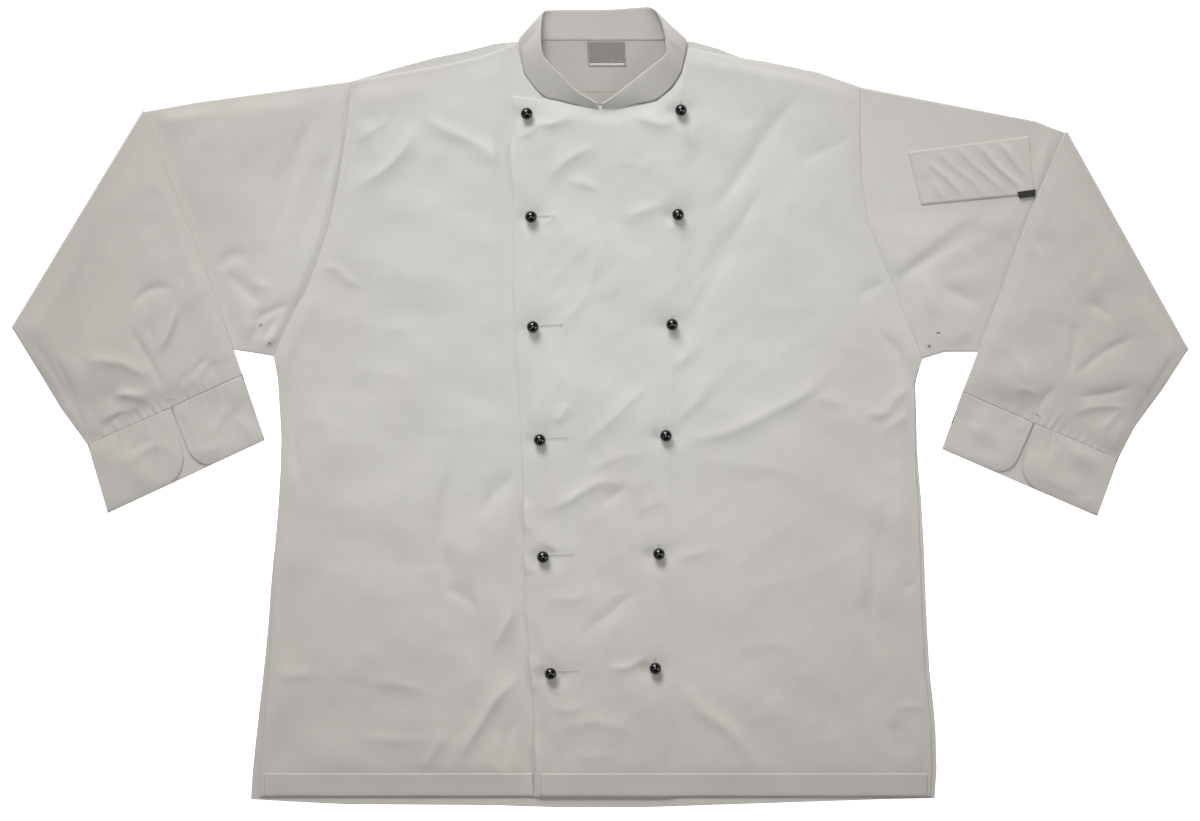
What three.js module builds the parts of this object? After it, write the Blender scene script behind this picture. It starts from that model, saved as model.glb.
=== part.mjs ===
// A chef jacket, laid flat on its back with both sleeves folded over once.
// Lengths are millimetres. X runs to the wearer's left, Y to the neck, Z up from the surface below.
// The origin is the middle of the jacket's box, on that surface.
import * as THREE from "three";

// Layers
const CLOTH = 1.2; // wall of one layer of twill
const SEAM_GAP = 0.3; // clearance between two pieces sewn together
const COLLAR_WALL = 2;
const LEVEL_BACK = 0;
const LEVEL_FRONT = LEVEL_BACK + CLOTH + SEAM_GAP;
const LEVEL_OVERLAP = LEVEL_FRONT + CLOTH + SEAM_GAP;
const STACK = LEVEL_FRONT + CLOTH; // the two layers of a flat sleeve

// Body
const HEM_FRONT = -390;
const OVERLAP_RISE = 15; // width in which the top front comes down past the edge below it
const CLEAR_OF_EDGE = 2;
const NECK_SPREAD = 0.72; // share of the height above which the columns gather at the neckline

// Creases die out towards seams and edges, and where another layer lies on them
const FADE = {
  seam: 30,
  edge: 26,
  cover: { from: 28, to: 70 },
  forearm: { from: 24, to: 60 },
  pocket: { from: 38, to: 76 },
  sleeveEdge: 0.12,
  foldEnd: { from: 0.03, to: 0.2 },
};

// Sleeves
const FOLD_CLEARANCE = 0.2;
const FOLD_AXIS = STACK + FOLD_CLEARANCE; // height that the sleeve turns over
const FOLD_STEPS = 6;
const FOREARM_FALL = { from: 24, to: 70 }; // the forearm comes down to the surface past the underarm
const EDGE_ROUND = { outer: 1, inner: 2.2 };

// Cuffs. Shares are of the cuff's width from its outer edge, or of its length from its seam.
const SLIT = { share: 0.54, halfShare: 0.0024, drawnBack: 0.05, drawnTurn: 2.2 };
const CUFF_CORNER = { from: 0.6, share: 1.8 };
const CUFF_SEAM_SHARE = 0.0043;
const CUFF_STEPS = { along: 4, flap: 5, under: 8 };

// Studs
const STUD = { radius: 6, foot: 2.8, footHeight: 1.1, squash: 0.93, steps: 6, around: 12 };

const WHITE = { color: 0xcdccc7, roughness: 0.9, metalness: 0 };
const LABEL_GREY = { color: 0x999691, roughness: 0.8, metalness: 0 };
const BLACK_CLOTH = { color: 0x17171b, roughness: 0.85, metalness: 0 };
const BLACK_GLOSS = { color: 0x0d0d10, roughness: 0.15, metalness: 0 };

// Outlines, each from the hem or the underarm to the neck

const RIGHT_SIDE = [
  { x: -340, y: -390 },
  { x: -339, y: -362 },
  { x: -336.5, y: -330 },
  { x: -334, y: -300 },
  { x: -331.5, y: -272 },
  { x: -329, y: -240 },
  { x: -327, y: -210 },
  { x: -326, y: -180 },
  { x: -324.5, y: -150 },
  { x: -322, y: -120 },
  { x: -320, y: -90 },
  { x: -318.5, y: -60 },
  { x: -318, y: -30 },
  { x: -320, y: 0 },
  { x: -322, y: 27 },
];
const RIGHT_ARMHOLE = [
  { x: -326, y: 51 },
  { x: -319, y: 68 },
  { x: -307, y: 94 },
  { x: -294, y: 116 },
  { x: -282, y: 147 },
  { x: -271, y: 182 },
  { x: -261, y: 228 },
  { x: -254, y: 274 },
  { x: -248, y: 326 },
];
const LEFT_SIDE = [
  { x: 330, y: -390 },
  { x: 332, y: -361 },
  { x: 331, y: -321 },
  { x: 328, y: -290 },
  { x: 325, y: -262 },
  { x: 323.5, y: -232 },
  { x: 322, y: -202 },
  { x: 321, y: -173 },
  { x: 320, y: -145 },
  { x: 319, y: -117 },
  { x: 318, y: -90 },
  { x: 316, y: -62 },
  { x: 315, y: -35 },
  { x: 315, y: -5 },
  { x: 314.5, y: 24 },
];
const LEFT_ARMHOLE = [
  { x: 322, y: 48 },
  { x: 314, y: 70 },
  { x: 302, y: 96 },
  { x: 296, y: 117 },
  { x: 282, y: 145 },
  { x: 268, y: 183 },
  { x: 261, y: 228 },
  { x: 259.5, y: 274 },
  { x: 260, y: 320 },
];
const TOP_FRONT_EDGE = [
  { x: -63, y: -390 },
  { x: -67, y: -293 },
  { x: -75, y: -193 },
  { x: -76, y: -93 },
  { x: -81, y: 7 },
  { x: -86, y: 107 },
  { x: -87, y: 207 },
  { x: -90, y: 257 },
  { x: -86, y: 287 },
  { x: -88, y: 311 },
];
const UNDER_FRONT_EDGE = [
  { x: 62, y: -390 },
  { x: 63, y: -261 },
  { x: 66, y: -147 },
  { x: 68, y: -29 },
  { x: 74, y: 77 },
  { x: 79, y: 192 },
  { x: 80, y: 304 },
];

// Upper edges, from the wearer's right to the left
const UNDER_FRONT_TOP = [
  { x: -248, y: 326 },
  { x: -227, y: 329.5 },
  { x: -206, y: 333 },
  { x: -184, y: 337 },
  { x: -162, y: 341 },
  { x: -141, y: 345.5 },
  { x: -120, y: 350 },
  { x: -102, y: 356.5 },
  { x: -84, y: 364 },
  { x: -81, y: 356 },
  { x: -75, y: 331 },
  { x: -58, y: 310 },
  { x: -23, y: 301 },
  { x: 0, y: 295.5 },
  { x: 40, y: 297 },
  { x: 80, y: 304 },
];
const TOP_FRONT_TOP = [
  { x: -88, y: 311 },
  { x: -69, y: 308.5 },
  { x: -50, y: 306 },
  { x: -23, y: 301 },
  { x: 0, y: 296 },
  { x: 15, y: 297 },
  { x: 36, y: 301.5 },
  { x: 57, y: 306 },
  { x: 72, y: 318 },
  { x: 82, y: 334 },
  { x: 88, y: 359 },
  { x: 98, y: 357 },
  { x: 118, y: 353 },
  { x: 141, y: 348.5 },
  { x: 169, y: 344.5 },
  { x: 194, y: 339.5 },
  { x: 219, y: 334 },
  { x: 240, y: 327 },
  { x: 260, y: 320 },
];
const BACK_TOP = [
  { x: -248, y: 326.5 },
  { x: -225, y: 333 },
  { x: -195, y: 342 },
  { x: -165, y: 350 },
  { x: -135, y: 356 },
  { x: -105, y: 364 },
  { x: -83, y: 366 },
  { x: -45, y: 366 },
  { x: 5, y: 366 },
  { x: 50, y: 366 },
  { x: 93, y: 366 },
  { x: 118, y: 359 },
  { x: 141, y: 350 },
  { x: 169, y: 345.5 },
  { x: 219, y: 335 },
  { x: 260, y: 320.5 },
];
const BACK_HEM = [
  { x: -349, y: -392 },
  { x: -315, y: -394 },
  { x: -255, y: -397 },
  { x: -105, y: -398 },
  { x: -45, y: -400 },
  { x: 45, y: -400 },
  { x: 135, y: -397 },
  { x: 285, y: -392 },
  { x: 335, y: -391 },
];
// How far the back comes round each side, past the front's edge
const SIDE_STRIP = [
  { y: -390, right: 9, left: 4.5 },
  { y: -300, right: 6.5, left: 4.5 },
  { y: -190, right: 3.5, left: 4 },
  { y: -140, right: 1.5, left: 4 },
  { y: 51, right: 0, left: 0 },
];

// Creases: a ridge from (x0, y0) to (x1, y1), bowed sideways in the middle
const UNDER_FRONT_CREASES = [
  { x0: -236, y0: 220, x1: -190, y1: 290, bow: 6, height: 4, width: 15 },
  { x0: -190, y0: 290, x1: -104, y1: 216, bow: 10, height: 3.5, width: 16 },
  { x0: -142, y0: -10, x1: -154, y1: -200, bow: -6, height: 4, width: 18 },
  { x0: -110, y0: -110, x1: -150, y1: -230, bow: 4, height: 2.5, width: 18 },
  { x0: -112, y0: -290, x1: -150, y1: -365, bow: 4, height: 4, width: 14 },
  { x0: -300, y0: -270, x1: -205, y1: -284, bow: 3, height: 2, width: 16 },
  { x0: -292, y0: 60, x1: -230, y1: 120, bow: -6, height: 2.5, width: 20 },
];
const TOP_FRONT_CREASES = [
  { x0: 205, y0: 308, x1: 112, y1: 205, bow: 6, height: 5, width: 16 },
  { x0: 112, y0: 205, x1: 96, y1: 122, bow: 4, height: 3.5, width: 15 },
  { x0: 146, y0: 178, x1: 98, y1: 62, bow: 5, height: 3, width: 18 },
  { x0: 252, y0: 54, x1: 118, y1: -12, bow: -8, height: 3, width: 18 },
  { x0: 118, y0: -12, x1: 96, y1: -66, bow: 3, height: 2.5, width: 16 },
  { x0: 100, y0: -140, x1: 235, y1: -112, bow: 6, height: 2, width: 20 },
  { x0: 92, y0: -290, x1: 150, y1: -360, bow: 5, height: 3.5, width: 15 },
  { x0: 280, y0: -180, x1: 292, y1: -248, bow: 5, height: 2.5, width: 14 },
  { x0: 262, y0: -10, x1: 306, y1: 16, bow: -5, height: 3, width: 12 },
  { x0: -70, y0: 268, x1: -25, y1: 280, bow: 5, height: 3, width: 12 },
  { x0: -55, y0: 190, x1: -8, y1: 245, bow: 4, height: 2.5, width: 13 },
  { x0: -58, y0: 36, x1: -20, y1: 8, bow: 3, height: 1.5, width: 14 },
  { x0: -52, y0: -114, x1: 44, y1: -40, bow: -8, height: 5, width: 15 },
  { x0: -34, y0: -236, x1: 46, y1: -166, bow: -5, height: 3.5, width: 14 },
  { x0: -2, y0: -296, x1: 40, y1: -256, bow: 3, height: 2.5, width: 12 },
];
const RIGHT_SLEEVE_CREASES = [
  { x0: -272, y0: 292, x1: -290, y1: 215, bow: 4, height: 4, width: 14 },
  { x0: -300, y0: 190, x1: -330, y1: 120, bow: -6, height: 3.5, width: 14 },
  { x0: -338, y0: 138, x1: -352, y1: 84, bow: 5, height: 3, width: 12 },
  { x0: -506, y0: 205, x1: -508, y1: 80, bow: 7, height: 4.5, width: 14 },
  { x0: -505, y0: 78, x1: -440, y1: 18, bow: -4, height: 3.5, width: 13 },
  { x0: -452, y0: 84, x1: -436, y1: 18, bow: 2, height: 2.5, width: 10 },
  { x0: -418, y0: 100, x1: -436, y1: 58, bow: 3, height: 2.5, width: 10 },
];
const LEFT_SLEEVE_CREASES = [
  { x0: 296, y0: 122, x1: 344, y1: 178, bow: -6, height: 4, width: 13 },
  { x0: 318, y0: 92, x1: 366, y1: 140, bow: -5, height: 3, width: 13 },
  { x0: 478, y0: 92, x1: 470, y1: 22, bow: 3, height: 3, width: 11 },
  { x0: 478, y0: 24, x1: 540, y1: 70, bow: 6, height: 3, width: 12 },
  { x0: 452, y0: 214, x1: 486, y1: 120, bow: 6, height: 3, width: 16 },
  { x0: 410, y0: 60, x1: 440, y1: 12, bow: 4, height: 2.5, width: 13 },
];

// The collar, a section for each place round the neck from its right end to its left end.
// sx, sy and sz are its seam to the neckline, and fx, fy and fz its free edge.
const COLLAR = [
  { sx: -2.6, sy: 297.9, sz: 3.6, fx: -7.5, fy: 303.5, fz: 17 },
  { sx: -22.6, sy: 302.4, sz: 3, fx: -24, fy: 317, fz: 18.5 },
  { sx: -40, sy: 306.9, sz: 2.7, fx: -40, fy: 333, fz: 18 },
  { sx: -57, sy: 311.3, sz: 2.6, fx: -50.5, fy: 343, fz: 17 },
  { sx: -73.8, sy: 331.5, sz: 2.6, fx: -57.5, fy: 354, fz: 15.5 },
  { sx: -78.2, sy: 350, sz: 2.7, fx: -58.8, fy: 372, fz: 13.5 },
  { sx: -80.8, sy: 361, sz: 2.8, fx: -58.3, fy: 384, fz: 11 },
  { sx: -80, sy: 367.8, sz: 2.6, fx: -55.5, fy: 395.3, fz: 7 },
  { sx: -69, sy: 366.9, sz: 1.6, fx: -48, fy: 396.8, fz: 4 },
  { sx: -50, sy: 366.4, sz: 1.1, fx: -40, fy: 397.2, fz: 3 },
  { sx: -24, sy: 366.4, sz: 1.05, fx: -20, fy: 397.3, fz: 3 },
  { sx: 5, sy: 366.4, sz: 1.05, fx: 8, fy: 397.5, fz: 3 },
  { sx: 34, sy: 366.4, sz: 1.05, fx: 32, fy: 399, fz: 3 },
  { sx: 58, sy: 366.4, sz: 1.1, fx: 44, fy: 399.8, fz: 4 },
  { sx: 76, sy: 367, sz: 1.7, fx: 52, fy: 398.6, fz: 7 },
  { sx: 86, sy: 367.8, sz: 2.7, fx: 58.5, fy: 390, fz: 10.5 },
  { sx: 86.2, sy: 357.5, sz: 3, fx: 63.5, fy: 376, fz: 13.5 },
  { sx: 83.4, sy: 345, sz: 3.5, fx: 65.5, fy: 363, fz: 15 },
  { sx: 80, sy: 333.6, sz: 4, fx: 65, fy: 351.5, fz: 16 },
  { sx: 70.4, sy: 319.4, sz: 4.2, fx: 52, fy: 341, fz: 17.2 },
  { sx: 56, sy: 307.6, sz: 4.3, fx: 38, fy: 330, fz: 18 },
  { sx: 36, sy: 303.2, sz: 4.3, fx: 24, fy: 319, fz: 18.5 },
  { sx: 15, sy: 298.9, sz: 4.2, fx: 12, fy: 309.5, fz: 18 },
  { sx: 2.8, sy: 297.9, sz: 4.1, fx: 5.5, fy: 303, fz: 17 },
];
const COLLAR_BULGE = { height: 1.5, lyingBelow: 4, standingAbove: 13 }; // flat where it lies down
const COLLAR_STEPS = 4;

// Each sleeve: the underarm and the top edge of the upper arm, then both edges of the forearm that
// is folded over it, the seam to the cuff and the cuff's end. Outer is the edge away from the body.
const RIGHT_SLEEVE = {
  armhole: RIGHT_ARMHOLE,
  underarm: [
    { x: -326, y: 51 },
    { x: -365, y: 57 },
    { x: -589, y: 79 },
  ],
  top: [
    { x: -248, y: 326 },
    { x: -405, y: 304.5 },
    { x: -457, y: 297 },
  ],
  outer: [
    { x: -589, y: 79 },
    { x: -563, y: 39 },
    { x: -539, y: -1 },
    { x: -512, y: -38 },
  ],
  inner: [
    { x: -457, y: 297 },
    { x: -432, y: 234 },
    { x: -391, y: 129 },
    { x: -357, y: 32 },
  ],
  cuffEnd: { outer: { x: -492, y: -106 }, inner: { x: -335, y: -33 } },
  creases: RIGHT_SLEEVE_CREASES,
};
const LEFT_SLEEVE = {
  armhole: LEFT_ARMHOLE,
  underarm: [
    { x: 322, y: 48 },
    { x: 345, y: 55 },
    { x: 589, y: 57 },
  ],
  top: [
    { x: 260, y: 320 },
    { x: 435, y: 286 },
    { x: 467, y: 276 },
  ],
  outer: [
    { x: 589, y: 57 },
    { x: 563, y: 19 },
    { x: 534, y: -21 },
    { x: 518, y: -52 },
  ],
  inner: [
    { x: 467, y: 276 },
    { x: 427, y: 188 },
    { x: 399, y: 111 },
    { x: 362, y: 15 },
  ],
  cuffEnd: { outer: { x: 497, y: -109 }, inner: { x: 342, y: -42 } },
  creases: LEFT_SLEEVE_CREASES,
};
const UPPER_STEPS = 10;
const FOREARM_STEPS = 11;
const GATHERS = { count: 9, height: 1.6, share: 0.26 }; // pleats that run from the cuff seam

const POCKET = {
  corners: [
    { x: 321, y: 202 },
    { x: 434, y: 213 },
    { x: 429, y: 271 },
    { x: 308, y: 255 },
  ],
  across: 18,
  up: 5,
  puckers: 6,
  puckerHeight: 1.6,
  puckerSlant: 0.12,
  hem: 0.12, // share of its width that is the hem of its mouth
  farEdge: 0.24,
  ramp: 0.08,
  wall: 1,
};
const TAB = {
  corners: [
    { x: 419, y: 208.4 },
    { x: 434.5, y: 210.5 },
    { x: 435.5, y: 217.5 },
    { x: 417, y: 215 },
  ],
  wall: 1,
};
const NECK_LABEL = { left: -13, right: 26, low: 341, high: 365.4, wall: 1 };

const STUD_ROWS = [
  { rightX: -73, rightY: 293, leftX: 81, leftY: 296 },
  { rightX: -69, rightY: 190, leftX: 78, leftY: 192 },
  { rightX: -67, rightY: 80, leftX: 72, leftY: 82 },
  { rightX: -60, rightY: -33, leftX: 66, leftY: -29 },
  { rightX: -57, rightY: -150, leftX: 59, leftY: -147 },
  { rightX: -49, rightY: -266, leftX: 55, leftY: -261 },
];

const mix = (a, b, t) => a + (b - a) * t;
const clamp = (t, low, high) => Math.min(Math.max(t, low), high);
const smooth = (from, to, value) => {
  const t = clamp((value - from) / (to - from), 0, 1);
  return t * t * (3 - 2 * t);
};
const range = (count) => Array.from({ length: count + 1 }, (_, i) => i / count);

// A column of a table, read at a value of another column, straight between its rows.
function read(table, key, at, wanted) {
  const rising = table[table.length - 1][key] > table[0][key];
  const rows = rising ? table : [...table].reverse();
  const next = rows.findIndex((row) => row[key] >= at);
  if (next === 0) return rows[0][wanted];
  if (next < 0) return rows[rows.length - 1][wanted];
  const [a, b] = [rows[next - 1], rows[next]];
  return mix(a[wanted], b[wanted], (at - a[key]) / (b[key] - a[key]));
}

// A point on a path of points, by its share of the path's length.
function pointOn(path, share) {
  const lengths = path.slice(1).map((p, i) => Math.hypot(p.x - path[i].x, p.y - path[i].y));
  const total = lengths.reduce((sum, length) => sum + length, 0);
  let left = clamp(share, 0, 1) * total;
  for (let i = 0; i < lengths.length; i++) {
    if (left <= lengths[i] || i === lengths.length - 1) {
      const t = left / lengths[i];
      return { x: mix(path[i].x, path[i + 1].x, t), y: mix(path[i].y, path[i + 1].y, t) };
    }
    left -= lengths[i];
  }
}

// The shares of a path's length at which its own points lie.
function sharesOf(path) {
  const sums = [0];
  path.slice(1).forEach((p, i) => sums.push(sums[i] + Math.hypot(p.x - path[i].x, p.y - path[i].y)));
  return sums.map((sum) => sum / sums[sums.length - 1]);
}

// The height of all creases of a table at one place.
function creaseHeight(creases, x, y) {
  return creases.reduce((sum, crease) => {
    const { x0, y0, x1, y1, bow, height, width } = crease;
    const length = Math.hypot(x1 - x0, y1 - y0);
    const [dx, dy] = [(x1 - x0) / length, (y1 - y0) / length];
    const along = (x - x0) * dx + (y - y0) * dy;
    const t = clamp(along / length, 0, 1);
    const aside = (y - y0) * dx - (x - x0) * dy - bow * 4 * t * (1 - t);
    const past = Math.max(0, -along, along - length);
    return sum + height * Math.exp(-((aside / width) ** 2) - (past / width) ** 2);
  }, 0);
}

// A closed wall between two grids of points. The first index runs from rim to rim, and the second
// runs across, or round where the wall is a tube.
function wallGeometry(outer, inner, isTube = false) {
  const [rows, columns] = [outer.length, outer[0].length];
  const positions = [...outer, ...inner].flat().flatMap((p) => [p.x, p.y, p.z]);
  const index = [];
  const at = (side, i, j) => side * rows * columns + i * columns + (j % columns);
  const face = (a, b, c, d) => index.push(a, b, c, a, c, d);
  const lastColumn = isTube ? columns : columns - 1;
  for (let i = 0; i < rows - 1; i++)
    for (let j = 0; j < lastColumn; j++) {
      face(at(0, i, j), at(0, i, j + 1), at(0, i + 1, j + 1), at(0, i + 1, j));
      face(at(1, i, j), at(1, i + 1, j), at(1, i + 1, j + 1), at(1, i, j + 1));
    }
  for (let j = 0; j < lastColumn; j++) {
    face(at(0, 0, j), at(1, 0, j), at(1, 0, j + 1), at(0, 0, j + 1));
    face(at(0, rows - 1, j), at(0, rows - 1, j + 1), at(1, rows - 1, j + 1), at(1, rows - 1, j));
  }
  if (!isTube)
    for (let i = 0; i < rows - 1; i++) {
      face(at(0, i, 0), at(0, i + 1, 0), at(1, i + 1, 0), at(1, i, 0));
      const j = columns - 1;
      face(at(0, i, j), at(1, i, j), at(1, i + 1, j), at(0, i + 1, j));
    }
  if (signedVolume(positions, index) < 0) index.reverse();
  const geometry = new THREE.BufferGeometry();
  geometry.setAttribute("position", new THREE.Float32BufferAttribute(positions, 3));
  geometry.setIndex(index);
  geometry.computeVertexNormals();
  return geometry;
}

function signedVolume(positions, index) {
  const point = (i) => new THREE.Vector3().fromArray(positions, i * 3);
  let volume = 0;
  for (let i = 0; i < index.length; i += 3) {
    const [a, b, c] = [point(index[i]), point(index[i + 1]), point(index[i + 2])];
    volume += a.dot(b.cross(c)) / 6;
  }
  return volume;
}

// A flat-lying wall: the upper grid, and the same grid one wall lower.
function layerGeometry(upper, wall = CLOTH) {
  const lower = upper.map((row) => row.map((p) => ({ ...p, z: p.z - wall })));
  return wallGeometry(upper, lower);
}

function cloth(name, geometry, look = WHITE) {
  const mesh = new THREE.Mesh(geometry, new THREE.MeshStandardMaterial(look));
  mesh.name = name;
  return mesh;
}

// The height of a grid's upper face at one place, from its triangles.
function heightOn(grid, x, y) {
  for (let i = 0; i < grid.length - 1; i++)
    for (let j = 0; j < grid[i].length - 1; j++) {
      const [a, b, c, d] = [grid[i][j], grid[i][j + 1], grid[i + 1][j + 1], grid[i + 1][j]];
      for (const [p, q, r] of [[a, b, c], [a, c, d]]) {
        const area = (q.x - p.x) * (r.y - p.y) - (r.x - p.x) * (q.y - p.y);
        const s = ((x - p.x) * (r.y - p.y) - (r.x - p.x) * (y - p.y)) / area;
        const t = ((q.x - p.x) * (y - p.y) - (x - p.x) * (q.y - p.y)) / area;
        if (s >= 0 && t >= 0 && s + t <= 1) return p.z + s * (q.z - p.z) + t * (r.z - p.z);
      }
    }
  throw new Error("no cloth at " + x + ", " + y);
}

// The back, flat on the surface, out to the sides that show past the fronts.
function backGrid() {
  const strip = (side, y) => read(SIDE_STRIP, "y", y, side);
  const right = [...RIGHT_SIDE, ...RIGHT_ARMHOLE];
  const left = [...LEFT_SIDE, ...LEFT_ARMHOLE];
  return right.map((edge, j) => {
    const v = (edge.y - HEM_FRONT) / (RIGHT_ARMHOLE.at(-1).y - HEM_FRONT);
    const xRight = edge.x - strip("right", edge.y);
    const xLeft = left[j].x + strip("left", left[j].y);
    return BACK_TOP.map((top, i) => {
      const even = i / (BACK_TOP.length - 1);
      const above = (top.x - BACK_TOP[0].x) / (BACK_TOP.at(-1).x - BACK_TOP[0].x);
      const x = mix(xRight, xLeft, mix(even, above, v));
      const low = read(BACK_HEM, "x", x, "y");
      const sideRow = mix(edge.y, left[j].y, mix(even, above, v)) - HEM_FRONT;
      const rise = top.y - mix(BACK_TOP[0].y, BACK_TOP.at(-1).y, above);
      const [nearNeck, nearHem] = [v ** 3, (1 - v) ** 6];
      const y = HEM_FRONT + sideRow + rise * nearNeck + (low - HEM_FRONT) * nearHem;
      return { x, y, z: LEVEL_BACK + CLOTH };
    });
  });
}

// The under front, from the right side to its edge under the closing.
function underFrontGrid() {
  const side = [...RIGHT_SIDE, ...RIGHT_ARMHOLE];
  const shoulder = RIGHT_ARMHOLE.at(-1).y;
  const last = UNDER_FRONT_TOP.length - 1;
  return side.map((edge, j) => {
    const v = (edge.y - HEM_FRONT) / (shoulder - HEM_FRONT);
    const inset = j < RIGHT_SIDE.length ? 0 : SEAM_GAP / 2;
    const nearTop = smooth(NECK_SPREAD, 1, v);
    return UNDER_FRONT_TOP.map((top, i) => {
      const y = mix(HEM_FRONT, top.y, v);
      const xLeft = read(UNDER_FRONT_EDGE, "y", y, "x");
      const topShare = (top.x - UNDER_FRONT_TOP[0].x) / (UNDER_FRONT_TOP[last].x - UNDER_FRONT_TOP[0].x);
      const x = mix(edge.x + inset, xLeft, mix(i / last, topShare, nearTop));
      const covered = read(TOP_FRONT_EDGE, "y", y, "x") - x;
      const fade =
        smooth(0, FADE.seam, x - edge.x) *
        smooth(FADE.cover.from, FADE.cover.to, covered) *
        smooth(0, FADE.seam, y - HEM_FRONT) *
        smooth(0, FADE.seam, top.y - y);
      const z = LEVEL_FRONT + CLOTH + fade * creaseHeight(UNDER_FRONT_CREASES, x, y);
      return { x, y, z };
    });
  });
}

// The top front, from its front edge over the closing to the left side. Two of its columns follow
// the hidden edge of the under front, where it steps down onto the back.
function topFrontGrid() {
  const side = [...LEFT_SIDE, ...LEFT_ARMHOLE];
  const shoulder = LEFT_ARMHOLE.at(-1).y;
  const onStep = TOP_FRONT_TOP.findIndex((p) => p.x > UNDER_FRONT_EDGE.at(-1).x);
  const offStep = onStep + 2;
  const last = TOP_FRONT_TOP.length - 1;
  return side.map((edge, j) => {
    const v = (edge.y - HEM_FRONT) / (shoulder - HEM_FRONT);
    const inset = j < LEFT_SIDE.length ? 0 : SEAM_GAP / 2;
    const nearTop = smooth(NECK_SPREAD, 1, v);
    return TOP_FRONT_TOP.map((top, i) => {
      const y = mix(HEM_FRONT, top.y, v);
      const xRight = read(TOP_FRONT_EDGE, "y", y, "x");
      const xStep = read(UNDER_FRONT_EDGE, "y", y, "x") + CLEAR_OF_EDGE;
      const xClear = mix(xStep + OVERLAP_RISE, TOP_FRONT_TOP[offStep].x, nearTop);
      const xLeft = edge.x - inset;
      const spread = (from, to, xFrom, xTo) => {
        const [a, b] = [TOP_FRONT_TOP[from].x, TOP_FRONT_TOP[to].x];
        return mix(xFrom, xTo, mix((i - from) / (to - from), (top.x - a) / (b - a), nearTop));
      };
      let x = spread(0, onStep, xRight, xStep);
      if (i > onStep) x = spread(onStep, offStep, xStep, xClear);
      if (i > offStep) x = spread(offStep, last, xClear, xLeft);
      const level = mix(LEVEL_OVERLAP, LEVEL_FRONT, clamp((i - onStep) / (offStep - onStep), 0, 1));
      const fade =
        smooth(0, FADE.edge, x - xRight) *
        smooth(0, FADE.seam, xLeft - x) *
        smooth(0, FADE.seam, y - HEM_FRONT) *
        smooth(0, FADE.edge, top.y - y);
      return { x, y, z: level + CLOTH + fade * creaseHeight(TOP_FRONT_CREASES, x, y) };
    });
  });
}

// A sleeve's lie on the surface: its fold, and the places of its upper arm, forearm and cuff.
function sleeveLie(sleeve) {
  const { armhole, underarm, top, outer, inner, cuffEnd } = sleeve;
  const [foldLow, foldHigh] = [outer[0], inner[0]];
  const length = Math.hypot(foldHigh.x - foldLow.x, foldHigh.y - foldLow.y);
  const out = { x: -(foldHigh.y - foldLow.y) / length, y: (foldHigh.x - foldLow.x) / length };
  if (out.x * foldLow.x < 0) Object.assign(out, { x: -out.x, y: -out.y });
  const foldAt = (w) => ({
    x: mix(foldLow.x, foldHigh.x, w) - out.x * FOLD_AXIS,
    y: mix(foldLow.y, foldHigh.y, w) - out.y * FOLD_AXIS,
  });
  const toBody = Math.sign(-foldLow.x);
  const shares = sharesOf(armhole);
  const armholeAt = (w) => {
    const p = pointOn(armhole, w);
    return { x: p.x - toBody * (SEAM_GAP / 2), y: p.y };
  };
  const upperAt = (s, w) => {
    const [a, f] = [armholeAt(w), foldAt(w)];
    const [a0, f0, a1, f1] = [armholeAt(0), foldAt(0), armholeAt(1), foldAt(1)];
    const low = pointOn([a0, underarm[1], f0], s);
    const high = pointOn([a1, top[1], f1], s);
    const place = (key) =>
      mix(a[key], f[key], s) +
      (1 - w) * (low[key] - mix(a0[key], f0[key], s)) +
      w * (high[key] - mix(a1[key], f1[key], s));
    return { x: place("x"), y: place("y") };
  };
  const forearmAt = (s, w) => {
    const low = pointOn([foldAt(0), ...outer.slice(1)], s);
    const high = pointOn([foldAt(1), ...inner.slice(1)], s);
    return { x: mix(low.x, high.x, w), y: mix(low.y, high.y, w) };
  };
  const cuffAt = (s, w) => {
    const [low, high] = [outer.at(-1), inner.at(-1)];
    const from = { x: mix(low.x, high.x, w), y: mix(low.y, high.y, w) };
    const end = { x: mix(cuffEnd.outer.x, cuffEnd.inner.x, w), y: mix(cuffEnd.outer.y, cuffEnd.inner.y, w) };
    return { x: mix(from.x, end.x, s), y: mix(from.y, end.y, s) };
  };
  const aside = (a, b, p) => {
    const span = Math.hypot(b.x - a.x, b.y - a.y);
    return ((p.x - a.x) * (b.y - a.y) - (p.y - a.y) * (b.x - a.x)) / span;
  };
  // How far a place is past the underarm, and how far it is from the forearm towards the body.
  const pastUnderarm = (p) => read(underarm, "x", p.x, "y") - p.y;
  const clearOfForearm = (p) => toBody * aside(inner[0], inner.at(-1), p) * -1;
  const restOf = (p) => 1 - smooth(FOREARM_FALL.from, FOREARM_FALL.to, pastUnderarm(p));
  return { upperAt, forearmAt, cuffAt, clearOfForearm, restOf, out, shares };
}

// The places round a flat tube: along its lower side's upper wall and back along the other.
function ringPlaces(shares) {
  const edge = (w) => ({ w, layer: "edge", inset: false });
  const side = (layer, list) =>
    list.map((w) => ({ w, layer, inset: w === 0 || w === 1 }));
  return [
    edge(0),
    ...side("front", shares),
    edge(1),
    ...side("back", [...shares].reverse()),
  ];
}

// One place of a tube's wall before it is folded: its height and how far it lies in from the edge.
function ringPoint(place, wallSide) {
  const isOuter = wallSide === "outer";
  const heights = {
    edge: STACK / 2,
    front: isOuter ? STACK : LEVEL_FRONT,
    back: isOuter ? LEVEL_BACK : LEVEL_BACK + CLOTH,
  };
  const inEdge = place.layer === "edge" ? (isOuter ? 0 : CLOTH) : EDGE_ROUND[wallSide];
  const sign = place.w < 0.5 ? 1 : -1;
  const moved = place.layer === "edge" || place.inset ? sign * inEdge : 0;
  return { height: heights[place.layer], moved };
}

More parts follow.
